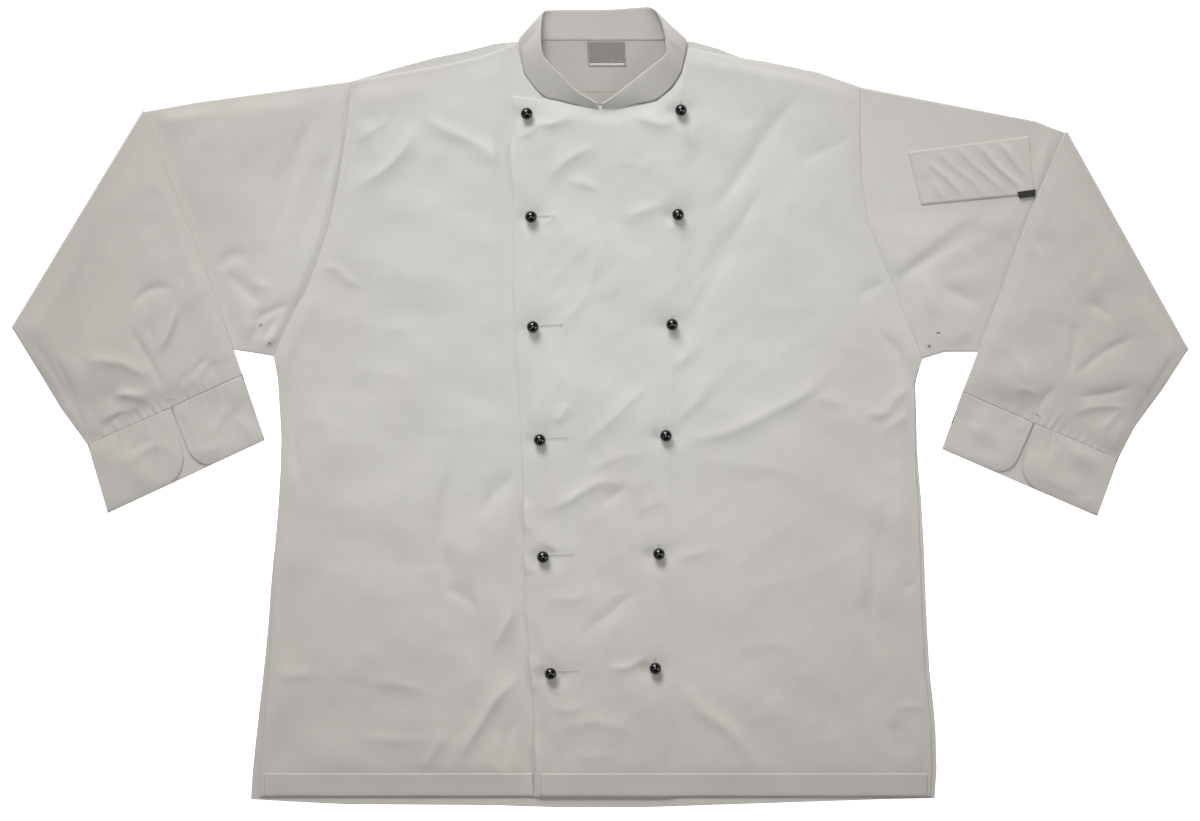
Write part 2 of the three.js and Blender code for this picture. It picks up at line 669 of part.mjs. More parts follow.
// A place of a sleeve, moved in from its edge along its own section.
function moveAcross(at, s, w, moved) {
  const p = at(s, w);
  if (!moved) return p;
  const nearby = 0.01;
  const [a, b] = [at(s, Math.max(w - nearby, 0)), at(s, Math.min(w + nearby, 1))];
  const length = Math.hypot(b.x - a.x, b.y - a.y);
  return { x: p.x + ((b.x - a.x) / length) * moved, y: p.y + ((b.y - a.y) / length) * moved };
}

function gatherHeight(s, w) {
  const near = smooth(1 - GATHERS.share, 1, s);
  return GATHERS.height * near * 0.5 * (1 - Math.cos(2 * Math.PI * GATHERS.count * w));
}

// A sleeve: one tube that runs out to its fold, turns over it and comes back as the forearm.
function sleeveGrids(sleeve) {
  const lie = sleeveLie(sleeve);
  const places = ringPlaces(lie.shares);
  const belowPocket = (p) =>
    sleeve === LEFT_SLEEVE
      ? smooth(FADE.pocket.from, FADE.pocket.to, read(POCKET.corners.slice(0, 2), "x", p.x, "y") - p.y)
      : 1;
  const across = (w) => smooth(0, FADE.sleeveEdge, w) * smooth(0, FADE.sleeveEdge, 1 - w);
  const rowsFor = (wallSide) => {
    const rows = [];
    for (const s of range(UPPER_STEPS))
      rows.push(
        places.map((place) => {
          const { height, moved } = ringPoint(place, wallSide);
          const p = moveAcross(lie.upperAt, s, place.w, moved);
          const fade =
            across(place.w) *
            smooth(0, FADE.sleeveEdge, s) *
            smooth(FADE.forearm.from, FADE.forearm.to, lie.clearOfForearm(p)) *
            belowPocket(p);
          const lift = place.layer === "front" ? fade * creaseHeight(sleeve.creases, p.x, p.y) : 0;
          return { ...p, z: height + lift };
        }),
      );
    for (const turn of range(FOLD_STEPS).slice(1, -1))
      rows.push(
        places.map((place) => {
          const { height, moved } = ringPoint(place, wallSide);
          const p = moveAcross(lie.forearmAt, 0, place.w, moved);
          const radius = FOLD_AXIS - height;
          const [sine, cosine] = [Math.sin(turn * Math.PI), Math.cos(turn * Math.PI)];
          return {
            x: p.x + lie.out.x * radius * sine,
            y: p.y + lie.out.y * radius * sine,
            z: FOLD_AXIS - radius * cosine,
          };
        }),
      );
    for (const s of range(FOREARM_STEPS))
      rows.push(
        places.map((place) => {
          const { height, moved } = ringPoint(place, wallSide);
          const p = moveAcross(lie.forearmAt, s, place.w, moved);
          const fade =
            across(place.w) *
            smooth(FADE.foldEnd.from, FADE.foldEnd.to, s) *
            smooth(0, FADE.sleeveEdge, 1 - s);
          const creases = fade * creaseHeight(sleeve.creases, p.x, p.y);
          const lift = place.layer === "back" ? creases + across(place.w) * gatherHeight(s, place.w) : 0;
          const drop = (1 - lie.restOf(p)) * (2 * FOLD_AXIS - STACK);
          return { ...p, z: 2 * FOLD_AXIS - height - drop + lift };
        }),
      );
    return rows;
  };
  return { outer: rowsFor("outer"), inner: rowsFor("inner") };
}

// A cuff: a band that starts at one side of its slit, runs round under the wrist and ends at the
// other side. Its corners at the slit are rounded.
function cuffGrids(sleeve) {
  const lie = sleeveLie(sleeve);
  const flap = (from, to) => range(CUFF_STEPS.flap).map((t) => ({ w: mix(from, to, t), t }));
  const places = [
    ...flap(SLIT.share - SLIT.halfShare, 0).map(({ w, t }) => ({
      w,
      layer: "back",
      inset: w === 0,
      toSlit: 1 - t,
    })),
    { w: 0, layer: "edge", inset: false, toSlit: 0 },
    ...range(CUFF_STEPS.under).map((w) => ({ w, layer: "front", inset: w === 0 || w === 1, toSlit: 0 })),
    { w: 1, layer: "edge", inset: false, toSlit: 0 },
    ...flap(1, SLIT.share + SLIT.halfShare).map(({ w, t }) => ({
      w,
      layer: "back",
      inset: w === 1,
      toSlit: t,
    })),
  ];
  const gridFor = (wallSide) =>
    range(CUFF_STEPS.along).map((t) =>
      places.map((place) => {
        const { height, moved } = ringPoint(place, wallSide);
        const rounding = CUFF_CORNER.share * Math.max(0, place.toSlit - CUFF_CORNER.from) ** 2;
        const s = mix(CUFF_SEAM_SHARE, 1 - rounding, t);
        const fromSlit = place.w > SLIT.share ? 1 : -1;
        const opened = SLIT.drawnBack * place.toSlit ** 3 * Math.sin(t * SLIT.drawnTurn) ** 2;
        const w = place.layer === "back" ? place.w + fromSlit * opened : place.w;
        const p = moveAcross(lie.cuffAt, s, w, moved);
        const drop = (1 - lie.restOf(p)) * (2 * FOLD_AXIS - STACK);
        return { ...p, z: 2 * FOLD_AXIS - height - drop };
      }),
    );
  return { outer: gridFor("outer"), inner: gridFor("inner") };
}

// The collar: a stiff band from its seam to its free edge, bulged a little.
function collarGeometry() {
  const bulgeOf = (row) =>
    COLLAR_BULGE.height * smooth(COLLAR_BULGE.lyingBelow, COLLAR_BULGE.standingAbove, row.fz);
  const middle = COLLAR.map((row) =>
    range(COLLAR_STEPS).map((t) => ({
      x: mix(row.sx, row.fx, t),
      y: mix(row.sy, row.fy, t),
      z: mix(row.sz, row.fz, t),
      bulge: bulgeOf(row) * 4 * t * (1 - t),
    })),
  );
  const vector = (p) => new THREE.Vector3(p.x, p.y, p.z);
  const offset = (amount) =>
    middle.map((row, i) =>
      row.map((p, j) => {
        const [before, after] = [middle[Math.max(i - 1, 0)], middle[Math.min(i + 1, middle.length - 1)]];
        const round = vector(after[j]).sub(vector(before[j]));
        const up = vector(row[row.length - 1]).sub(vector(row[0]));
        const out = round.cross(up).normalize();
        return vector(p).addScaledVector(out, amount - p.bulge);
      }),
    );
  return wallGeometry(offset(COLLAR_WALL / 2), offset(-COLLAR_WALL / 2));
}

// A four-cornered patch on other cloth, made from that cloth's height.
function patchGrid(corners, across, up, heightAt) {
  return range(up).map((v) =>
    range(across).map((u) => {
      const place = (key) =>
        mix(mix(corners[0][key], corners[1][key], u), mix(corners[3][key], corners[2][key], u), v);
      const [x, y] = [place("x"), place("y")];
      return { x, y, z: heightAt(x, y, u, v) };
    }),
  );
}

function pocketGrid() {
  const rest = STACK + SEAM_GAP + POCKET.wall;
  const puckerAt = (u, v) => {
    const past = smooth(POCKET.hem, POCKET.hem + POCKET.ramp, u) * smooth(0, POCKET.farEdge, 1 - u);
    const between = Math.sin(Math.PI * v);
    const wave = 0.5 * (1 - Math.cos(2 * Math.PI * POCKET.puckers * (u + v * POCKET.puckerSlant)));
    return POCKET.puckerHeight * past * between * wave;
  };
  return patchGrid(POCKET.corners, POCKET.across, POCKET.up, (x, y, u, v) => rest + puckerAt(u, v));
}

function studGeometry() {
  const { radius, foot, footHeight, squash, steps, around } = STUD;
  const start = -Math.acos(foot / radius);
  const centre = footHeight - radius * squash * Math.sin(start);
  const ball = range(steps).map((t) => {
    const angle = mix(start, Math.PI / 2, t);
    return new THREE.Vector2(t === 1 ? 0 : radius * Math.cos(angle), centre + radius * squash * Math.sin(angle));
  });
  const profile = [new THREE.Vector2(0, 0), new THREE.Vector2(foot, 0), ...ball];
  return new THREE.LatheGeometry(profile, around).rotateX(Math.PI / 2);
}

function studSeat(grid, x, y) {
  const round = range(8).map((t) => [
    x + STUD.radius * Math.cos(2 * Math.PI * t),
    y + STUD.radius * Math.sin(2 * Math.PI * t),
  ]);
  return Math.max(...[[x, y], ...round].map(([px, py]) => heightOn(grid, px, py))) + SEAM_GAP;
}

const jacket = new THREE.Group();

jacket.add(cloth("back", layerGeometry(backGrid())));
jacket.add(cloth("front_right", layerGeometry(underFrontGrid())));
const topFront = topFrontGrid();
jacket.add(cloth("front_left", layerGeometry(topFront)));
jacket.add(cloth("collar", collarGeometry()));

for (const [side, sleeve] of Object.entries({ right: RIGHT_SLEEVE, left: LEFT_SLEEVE })) {
  const tube = sleeveGrids(sleeve);
  jacket.add(cloth("sleeve_" + side, wallGeometry(tube.outer, tube.inner, true)));
  const cuff = cuffGrids(sleeve);
  jacket.add(cloth("cuff_" + side, wallGeometry(cuff.outer, cuff.inner)));
}

const pocket = pocketGrid();
jacket.add(cloth("sleeve_pocket", layerGeometry(pocket, POCKET.wall)));
const onPocket = STACK + SEAM_GAP + POCKET.wall + SEAM_GAP;
const tab = patchGrid(TAB.corners, 2, 1, () => onPocket + TAB.wall);
jacket.add(cloth("sleeve_tab", layerGeometry(tab, TAB.wall), BLACK_CLOTH));

const labelCorners = [
  { x: NECK_LABEL.left, y: NECK_LABEL.low },
  { x: NECK_LABEL.right, y: NECK_LABEL.low },
  { x: NECK_LABEL.right, y: NECK_LABEL.high },
  { x: NECK_LABEL.left, y: NECK_LABEL.high },
];
const label = patchGrid(labelCorners, 2, 2, () => LEVEL_FRONT + NECK_LABEL.wall);
jacket.add(cloth("neck_label", layerGeometry(label, NECK_LABEL.wall), LABEL_GREY));

STUD_ROWS.forEach((row, i) => {
  for (const side of ["right", "left"]) {
    const [x, y] = [row[side + "X"], row[side + "Y"]];
    const stud = cloth("stud_" + side + "_" + (i + 1), studGeometry(), BLACK_GLOSS);
    stud.position.set(x, y, studSeat(topFront, x, y));
    jacket.add(stud);
  }
});

export default jacket;
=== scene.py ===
"""Dress the chef jacket: its cloth, thread, trim and studs, and the light and camera round it.

Sizes are millimetres until a mesh is made. X runs to the wearer's left, Y to the neck and Z up
from the surface that the jacket lies on.
"""
import logging
import math
from collections.abc import Callable, Sequence
from dataclasses import dataclass, field
from enum import Enum

import bpy
import numpy as np
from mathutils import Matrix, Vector
from mathutils.bvhtree import BVHTree

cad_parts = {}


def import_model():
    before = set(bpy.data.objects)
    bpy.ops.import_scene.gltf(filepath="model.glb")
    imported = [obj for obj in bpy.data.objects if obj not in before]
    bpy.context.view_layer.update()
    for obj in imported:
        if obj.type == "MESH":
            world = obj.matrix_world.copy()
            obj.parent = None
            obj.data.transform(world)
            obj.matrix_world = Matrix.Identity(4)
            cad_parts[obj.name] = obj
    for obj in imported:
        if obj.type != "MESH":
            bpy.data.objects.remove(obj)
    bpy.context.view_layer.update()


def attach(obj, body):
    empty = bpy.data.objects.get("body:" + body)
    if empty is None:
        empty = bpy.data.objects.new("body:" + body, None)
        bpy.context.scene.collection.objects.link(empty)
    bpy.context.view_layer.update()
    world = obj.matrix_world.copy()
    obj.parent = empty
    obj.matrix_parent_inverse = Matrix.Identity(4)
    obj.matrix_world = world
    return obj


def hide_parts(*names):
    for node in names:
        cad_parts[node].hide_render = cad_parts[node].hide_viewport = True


log = logging.getLogger("chef_jacket")

Array = np.ndarray
Points = Sequence[tuple[float, float]]
Line = list[tuple[float, float, float]]

MM = 0.001
BODY = "root"
WEAVE_MAP = "cloth"

# Layers
CLOTH = 1.2
SEAM_GAP = 0.3
LEVEL_BACK = 0.0
LEVEL_FRONT = LEVEL_BACK + CLOTH + SEAM_GAP
LEVEL_OVERLAP = LEVEL_FRONT + CLOTH + SEAM_GAP
STACK = LEVEL_FRONT + CLOTH
FOLD_AXIS = STACK + 0.2
FOREARM_RISE = 2 * FOLD_AXIS - STACK

# Body
HEM = -390.0
NECK_SPREAD = 0.72
OVERLAP_RISE = 15.0
CLEAR_OF_EDGE = 2.0
SEAM_FADE = 26.0
SIDE_FADE = 15.0
HEM_FADE = 34.0
EDGE_FADE = 16.0
COVER_FADE = (2.0, 20.0)
FOLD_STRENGTH = 1.2
EDGE_DIP = 0.45
EDGE_REACH = 2.6
EDGE_OFFSETS = (0.6, 1.3, 2.2, 3.6)

RIGHT_SIDE: Points = (
    (-340, -390), (-339, -362), (-336.5, -330), (-334, -300), (-331.5, -272), (-329, -240),
    (-327, -210), (-326, -180), (-324.5, -150), (-322, -120), (-320, -90), (-318.5, -60),
    (-318, -30), (-320, 0), (-322, 27),
)
RIGHT_ARMHOLE: Points = (
    (-326, 51), (-319, 68), (-307, 94), (-294, 116), (-282, 147), (-271, 182), (-261, 228),
    (-254, 274), (-248, 326),
)
LEFT_SIDE: Points = (
    (330, -390), (332, -361), (331, -321), (328, -290), (325, -262), (323.5, -232), (322, -202),
    (321, -173), (320, -145), (319, -117), (318, -90), (316, -62), (315, -35), (315, -5),
    (314.5, 24),
)
LEFT_ARMHOLE: Points = (
    (322, 48), (314, 70), (302, 96), (296, 117), (282, 145), (268, 183), (261, 228),
    (259.5, 274), (260, 320),
)
TOP_FRONT_EDGE: Points = (
    (-63, -390), (-67, -293), (-75, -193), (-76, -93), (-81, 7), (-86, 107), (-87, 207),
    (-90, 257), (-86, 287), (-88, 311),
)
UNDER_FRONT_EDGE: Points = (
    (62, -390), (63, -261), (66, -147), (68, -29), (74, 77), (79, 192), (80, 304),
)
UNDER_FRONT_TOP: Points = (
    (-248, 326), (-227, 329.5), (-206, 333), (-184, 337), (-162, 341), (-141, 345.5),
    (-120, 350), (-102, 356.5), (-84, 364), (-81, 356), (-75, 331), (-58, 310), (-23, 301),
    (0, 295.5), (40, 297), (80, 304),
)
TOP_FRONT_TOP: Points = (
    (-88, 311), (-69, 308.5), (-50, 306), (-23, 301), (0, 296), (15, 297), (36, 301.5),
    (57, 306), (72, 318), (82, 334), (88, 359), (98, 357), (118, 353), (141, 348.5),
    (169, 344.5), (194, 339.5), (219, 334), (240, 327), (260, 320),
)
BACK_TOP: Points = (
    (-248, 326.5), (-225, 333), (-195, 342), (-165, 350), (-135, 356), (-105, 364), (-83, 366),
    (-45, 366), (5, 366), (50, 366), (93, 366), (118, 359), (141, 350), (169, 345.5),
    (219, 335), (260, 320.5),
)
BACK_HEM: Points = (
    (-349, -392), (-315, -394), (-255, -397), (-105, -398), (-45, -400), (45, -400),
    (135, -397), (285, -392), (335, -391),
)
# y, then how far the back comes round the right and the left side
SIDE_STRIP = ((-390, 9, 4.5), (-300, 6.5, 4.5), (-190, 3.5, 4), (-140, 1.5, 4), (51, 0, 0))

# Each fold: the places along it, its height, its width, and how far its crest lies to the left
UNDER_FRONT_FOLDS = (
    (((-192, 294), (-182, 289), (-156, 272), (-126, 259), (-104, 241), (-92, 222)), 2.6, 8, 5),
    (((-250, 212), (-213, 233), (-187, 263), (-183, 294)), 2.4, 8, 5),
    (((-247, 259), (-226, 272), (-204, 289)), 1.3, 6, 4),
    (((-240, 300), (-225, 285), (-214, 262)), -1.0, 6, 0),
    (((-284, 137), (-265, 137), (-252, 124), (-233, 118)), 1.5, 4, 2),
    (((-217, 72), (-187, 76)), 0.8, 6, 4),
    (((-297, 90), (-304, 41), (-308, 7), (-306, -41), (-300, -75), (-302, -110)), -2.6, 6, 0),
    (((-137, -40), (-150, -70), (-156, -100), (-158, -140), (-150, -175), (-142, -205)), -2.8, 7, 0),
    (((-128, -110), (-130, -150), (-122, -195), (-120, -225)), 1.6, 7, 0),
    (((-160, -180), (-135, -190), (-120, -205)), -1.4, 5, 0),
    (((-80, -62), (-98, -80), (-111, -93), (-119, -116)), -2.6, 6, 0),
    (((-76, -186), (-92, -215), (-108, -244)), 2.0, 7, 0),
    (((-66, -262), (-98, -293), (-115, -319), (-132, -345), (-139, -372)), 2.8, 6.5, -5),
    (((-74, -300), (-92, -330), (-98, -368)), -1.2, 5, 0),
    (((-150, -318), (-163, -345), (-178, -370)), 1.8, 6, -3),
    (((-140, -230), (-128, -262), (-135, -300)), 1.2, 10, 0),
    (((-328, -271), (-285, -273)), 1.0, 7, 4),
    (((-240, -278), (-193, -284), (-160, -294)), 1.5, 8, 5),
    (((-124, 76), (-119, 40), (-117, 15), (-104, 11)), 1.2, 5, 0),
    (((-265, 40), (-215, 28), (-180, 34)), 0.8, 8, 4),
    (((-250, -330), (-200, -338), (-160, -332)), 0.9, 8, 4),
    (((-310, -150), (-313, -200), (-311, -250)), -1.4, 7, 0),
    (((-225, 200), (-190, 190), (-150, 205)), 0.7, 10, 4),
    (((-300, 20), (-270, -30), (-262, -90)), 0.9, 9, 0),
    (((-110, 200), (-120, 150), (-112, 96)), 1.0, 7, 0),
    (((-230, -120), (-205, -150), (-200, -200)), -0.8, 9, 0),
)
TOP_FRONT_FOLDS = (
    (((204, 326), (178, 295), (156, 264), (130, 225), (113, 205), (90, 193)), -2.8, 7.5, 5),
    (((258, 279), (230, 264), (213, 256), (188, 238)), -1.2, 7, 4),
    (((176, 230), (152, 208), (130, 173), (112, 150), (88, 120)), -2.0, 7, 4),
    (((142, 175), (104, 118), (82, 72)), -1.5, 6, 3),
    (((68, -40), (90, -38), (130, -31), (173, -10), (208, 8), (234, 34), (249, 52)), 2.4, 8, 6),
    (((214, 9), (247, -3)), 1.0, 5, 3),
    (((319, 15), (300, 8), (287, -10), (262, -12)), 2.4, 4, -4),
    (((315, -4), (296, -15), (283, -31)), 1.6, 3.6, 0),
    (((256, 104), (269, 117), (291, 127)), -1.4, 4, 0),
    (((276, 78), (300, 50), (307, 16)), -2.0, 5, 0),
    (((281, -90), (277, -153), (272, -206), (281, -240), (302, -252)), -2.8, 7, 0),
    (((298, -66), (297, -120), (294, -205)), 1.1, 7, 0),
    (((303, -184), (320, -173)), -1.6, 3.6, 0),
    (((290, -300), (328, -299)), 0.9, 4.5, 0),
    (((293, -308), (298, -350)), -1.4, 7, 0),
    (((64, -264), (85, -290), (101, -310), (125, -326), (145, -353), (152, -372)), 2.2, 8, 5),
    (((66, -154), (98, -149), (118, -134)), 1.0, 6, 3),
    (((180, -185), (215, -170), (250, -145)), 0.9, 10, 4),
    (((120, -250), (170, -240), (215, -252)), 0.8, 10, 4),
    (((150, 110), (185, 95), (230, 100)), 0.7, 10, 4),
    (((-86, 262), (-67, 274), (-60, 280), (-47, 280), (-28, 288)), 2.6, 4, 3),
    (((-50, 216), (-38, 237), (-20, 250), (4, 259)), 1.9, 5, 4),
    (((-37, 223), (-17, 219), (3, 211)), 1.5, 5, 4),
    (((31, 297), (43, 284), (63, 279), (85, 285)), 2.3, 5, 4),
    (((83, 286), (95, 258)), 1.3, 5, 0),
    (((20, 183), (50, 195), (70, 197)), 1.4, 6, 4),
    (((64, 180), (85, 177)), 1.5, 3.5, 3),
    (((-64, 181), (-50, 184), (-42, 195)), 1.5, 3.2, 2),
    (((-47, 80), (-23, 99), (-10, 125), (2, 174)), 1.3, 6, 0),
    (((15, 148), (13, 100)), 0.9, 5, 0),
    (((-43, -20), (-27, 4)), 1.5, 5, 3),
    (((-30, -55), (13, -18), (33, 2), (60, 22)), 1.5, 7, 5),
    (((70, -19), (103, 12), (112, 43)), 1.8, 6, 0),
    (((-56, -116), (-45, -105), (-29, -98), (-12, -88), (8, -80), (34, -87)), 1.9, 7, 5),
    (((-40, -104), (-14, -84), (12, -70)), 0.9, 5, 3),
    (((1, -98), (32, -76)), -1.1, 6, 0),
    (((-15, -70), (18, -53), (53, -49)), 1.1, 6, 3),
    (((-33, -238), (-15, -220), (11, -200), (28, -186), (50, -175)), -1.3, 6, -4),
    (((2, -250), (12, -226), (20, -206)), 0.8, 6, 0),
    (((2, -264), (28, -263), (41, -256), (53, -249)), 1.5, 4, 3),
    (((-44, -284), (-38, -272), (-32, -262)), -1.6, 3, 0),
    (((-62, -137), (-52, -141), (-40, -147)), 1.6, 3, 3),
    (((-50, 40), (-30, 20), (-34, -8)), 1.0, 5, 0),
    (((-60, -190), (-30, -196), (0, -185)), 0.8, 7, 3),
    (((-48, -330), (-5, -318), (45, -335)), 0.9, 8, 4),
    (((-34, -345), (-10, -352), (20, -346)), 0.7, 6, 2),
    (((-55, -300), (-30, -305), (-8, -298)), 0.8, 6, 2),
    (((70, 35), (90, 55), (96, 84)), 1.2, 6, 0),
    (((100, -70), (150, -60), (210, -75)), 0.8, 9, 3),
)
# Where the top front's free edge stands up beside the overlap: the lowest and highest y, and how far
EDGE_BULGES = (
    (206, 274, 2.6), (95, 130, 0.9), (28, 62, 1.0), (-132, -90, 2.4), (-170, -146, 1.8), (-222, -196, 0.9),
    (-290, -244, 2.2), (-392, -326, 2.4),
)
# The under front's hidden edge, which shows through the top front
HIDDEN_EDGE_FOLDS = (
    (((62, -388), (63, -261), (66, -147), (68, -29), (73, 60)), 0.45, 2.6, 0),
    (((69, -176), (69, -205), (67, -244)), -0.7, 5, -4),
)
RIGHT_SLEEVE_FOLDS = (
    (((-254, 296), (-258, 280), (-265, 250), (-269, 211), (-273, 172), (-284, 122)), 3.4, 4.5, 5),
    (((-262, 284), (-267, 252), (-280, 227), (-302, 150)), -2.6, 8, 0),
    (((-276, 312), (-296, 268), (-310, 231), (-322, 185), (-326, 140)), -2.6, 9, 0),
    (((-342, 100), (-342, 78), (-349, 58)), -2.4, 3, 0),
    (((-322, 76), (-332, 63), (-331, 53)), 2.2, 3, 0),
    (((-317, 94), (-330, 80), (-337, 62)), -2.2, 3, 0),
    (((-345, 88), (-326, 96), (-308, 104)), -2.0, 3.6, 0),
    (((-386, 134), (-370, 150), (-348, 152)), -2.6, 5, 0),
    (((-379, 136), (-355, 118), (-338, 98)), -2.8, 5, 0),
    (((-352, 128), (-328, 116)), 1.4, 5, 0),
    (((-505, 212), (-507, 150), (-514, 105), (-522, 60), (-525, 22)), -4.2, 9, 0),
    (((-540, 130), (-536, 90), (-532, 40)), -1.6, 7, 0),
    (((-474, 84), (-460, 62), (-447, 40), (-433, 10)), -2.0, 3, 0),
    (((-469, 100), (-454, 115), (-437, 119), (-420, 116)), -1.8, 5, 0),
    (((-424, 104), (-434, 71), (-444, 54)), 2.4, 3.6, 2),
    (((-447, 92), (-449, 76), (-442, 58)), -1.2, 3, 0),
    (((-518, 44), (-480, 40), (-460, 30), (-444, 26)), 1.9, 6, 4),
    (((-488, 8), (-470, 11), (-450, 7)), 1.6, 4, 2),
    (((-384, 45), (-391, 25)), -1.6, 3.4, 0),
    (((-505, -30), (-482, -10), (-470, 2)), -1.6, 4, 0),
    (((-484, 14), (-452, 2)), 1.2, 4, 2),
    (((-410, 25), (-401, 41), (-387, 51)), -1.6, 2.8, 0),
    (((-399, 22), (-391, 37), (-378, 47)), -1.5, 2.8, 0),
    (((-376, 36), (-367, 54)), -1.3, 2.8, 0),
    (((-421, 18), (-412, 36)), -1.3, 2.6, 0),
    (((-552, 60), (-530, 20), (-516, -12)), -1.3, 4, 0),
    (((-577, 84), (-555, 49), (-528, 4), (-505, -36)), -1.8, 2.6, 0),
    (((-470, 205), (-452, 150), (-440, 105)), 0.9, 12, 0),
    (((-500, -12), (-475, -4), (-455, 0)), 1.0, 3.4, 0),
)
LEFT_SLEEVE_FOLDS = (
    (((404, 208), (372, 182), (348, 163), (326, 147), (304, 130), (300, 112), (309, 90), (323, 64)), -3.8, 6, 0),
    (((320, 132), (330, 112), (331, 88)), 1.6, 6, 0),
    (((265, 284), (280, 272), (297, 263)), -1.8, 7, 0),
    (((281, 264), (280, 230), (284, 198)), -2.2, 7, 0),
    (((341, 122), (366, 108), (392, 100)), -2.3, 6, 0),
    (((348, 158), (372, 172), (398, 181)), -1.4, 8, 0),
    (((360, 78), (380, 68), (392, 74)), 1.6, 5, 0),
    (((474, 88), (473, 61), (469, 28)), -1.9, 3.4, 0),
    (((471, 26), (501, 53), (541, 73)), -1.8, 3.6, 0),
    (((468, 8), (514, 15), (541, 25)), -1.4, 3.6, 0),
    (((466, -12), (493, 0), (537, -1)), 1.2, 3.8, 0),
    (((485, 108), (500, 98), (514, 86)), -1.6, 6, 0),
    (((430, 176), (447, 150)), -1.2, 6, 0),
    (((452, 194), (470, 150), (488, 116)), 0.9, 11, 0),
    (((457, 24), (440, 2), (436, -16)), -1.8, 3.4, 0),
    (((398, 74), (420, 40), (428, 10)), 1.0, 7, 0),
    (((580, 60), (556, 22), (528, -18)), -1.8, 2.6, 0),
    (((500, -28), (512, -12), (528, 0)), 1.3, 3.2, 0),
    (((410, 12), (424, 18), (440, 10)), 1.0, 3.4, 0),
)
# The grey tuck beside the left forearm's inner edge
LEFT_TUCK_FOLDS = ((((453, 284), (445, 252), (434, 216)), 2.2, 4.2, 0),)
NO_FOLDS = ()

# A section for each place round the neck: the seam's x, y and z, then the free edge's
COLLAR_SECTIONS = (
    (-0.9, 297.9, 3.6, -3, 303.6, 9), (-22.6, 302.4, 3, -24, 317, 10.5),
    (-40, 306.9, 2.7, -40, 333, 12), (-57, 311.3, 2.6, -50.5, 343, 13),
    (-73.8, 331.5, 2.6, -57.5, 354, 13.5), (-78.2, 350, 2.7, -58.8, 372, 13),
    (-80.8, 361, 2.8, -58.3, 384, 11), (-80, 367.8, 2.6, -55.5, 395.3, 7),
    (-69, 366.9, 1.6, -48, 396.8, 4), (-50, 366.4, 1.1, -40, 397.2, 3),
    (-24, 366.4, 1.05, -20, 397.3, 3), (5, 366.4, 1.05, 8, 397.5, 3),
    (34, 366.4, 1.05, 32, 399, 3), (58, 366.4, 1.1, 44, 399.8, 4),
    (76, 367, 1.7, 52, 398.6, 7), (86, 367.8, 2.7, 58.5, 390, 10.5),
    (86.2, 357.5, 3, 63.5, 376, 13), (83.4, 345, 3.5, 65.5, 363, 13.5),
    (80, 333.6, 4, 65, 351.5, 13.5), (70.4, 319.4, 4.2, 52, 341, 13),
    (56, 307.6, 4.3, 38, 330, 12.5), (36, 303.2, 4.3, 24, 319, 11.5),
    (15, 298.9, 4.2, 12, 309.5, 10.5), (1.5, 297.9, 4.1, 2.4, 303.4, 9),
)

# Stud centres, row by row from the neck: the wearer's right column, then the left one
STUD_PLACES: Points = (
    (-73, 293), (81, 296), (-69, 190), (78, 192), (-67, 80), (72, 82),
    (-60, -33), (66, -29), (-57, -150), (59, -147), (-49, -266), (55, -261),
)


class Side(Enum):
    """The wearer's right or left, as the CAD nodes name it."""

    RIGHT = "right"
    LEFT = "left"


class Slot(Enum):
    """The record's material slots."""

    TWILL = "white_twill"
    LABEL = "grey_label"
    TAB = "black_tab"
    STUD = "black_stud"


class Layer(Enum):
    """Which side of a flat tube a place is on, seen before the tube is folded."""

    FRONT = "front"
    BACK = "back"


def mix(a: Array | float, b: Array | float, t: Array | float) -> Array | float:
    """The value a share t of the way from a to b."""
    return a + (b - a) * t


def smooth(low: float, high: float, value: Array | float) -> Array:
    """A soft step from 0 at low to 1 at high."""
    t = np.clip((value - low) / (high - low), 0.0, 1.0)
    return t * t * (3.0 - 2.0 * t)


def read(table: Sequence[Sequence[float]], at: Array | float, by: int = 1, wanted: int = 0) -> Array:
    """Read one column of a table at values of another.

    Args:
        table: Rows of numbers.
        at: Values of the column that is looked up.
        by: The column that is looked up.
        wanted: The column that is read.

    Returns:
        The wanted column, straight between the table's rows.
    """
    rows = np.asarray(table, float)
    rows = rows[np.argsort(rows[:, by], kind="stable")]
    return np.interp(at, rows[:, by], rows[:, wanted])


def at_rows(table: Sequence[Sequence[float]], index: Array) -> Array:
    """A table's rows at fractional row numbers."""
    rows = np.asarray(table, float)
    numbers = np.arange(len(rows))
    return np.stack([np.interp(index, numbers, rows[:, k]) for k in range(rows.shape[1])], -1)


def on_path(points: Sequence[Sequence[float]], share: Array) -> Array:
    """Points on a path by their share of its length.

    Args:
        points: The path's corners, with x and y.
        share: Shares of the length, from 0 to 1.

    Returns:
        An array of the shares' shape, with x and y as its last axis.
    """
    rows = np.asarray(points, float)
    sums = np.concatenate([[0.0], np.cumsum(np.hypot(*np.diff(rows, axis=0).T))])
    sums = sums / sums[-1]
    return np.stack([np.interp(share, sums, rows[:, k]) for k in (0, 1)], -1)


def spread(count: int, span: float, keep: Sequence[float] = (), near: Sequence[float] = EDGE_OFFSETS) -> Array:
    """Shares from 0 to 1, even in the middle and closer together at both ends.

    Args:
        count: How many even steps there are.
        span: The length that the shares cover.
        keep: Shares that have to be among them.
        near: Distances from each end that get a share of their own.

    Returns:
        The shares in rising order.
    """
    ends = np.asarray(near) / span
    fixed = np.concatenate([[0.0, 1.0], ends, 1 - ends, np.asarray(keep, float)])
    even = np.linspace(0, 1, count + 1)
    clear = 0.35 / count
    free = [t for t in even if np.min(np.abs(fixed - t)) > clear]
    return np.unique(np.round(np.concatenate([fixed, free]), 7))


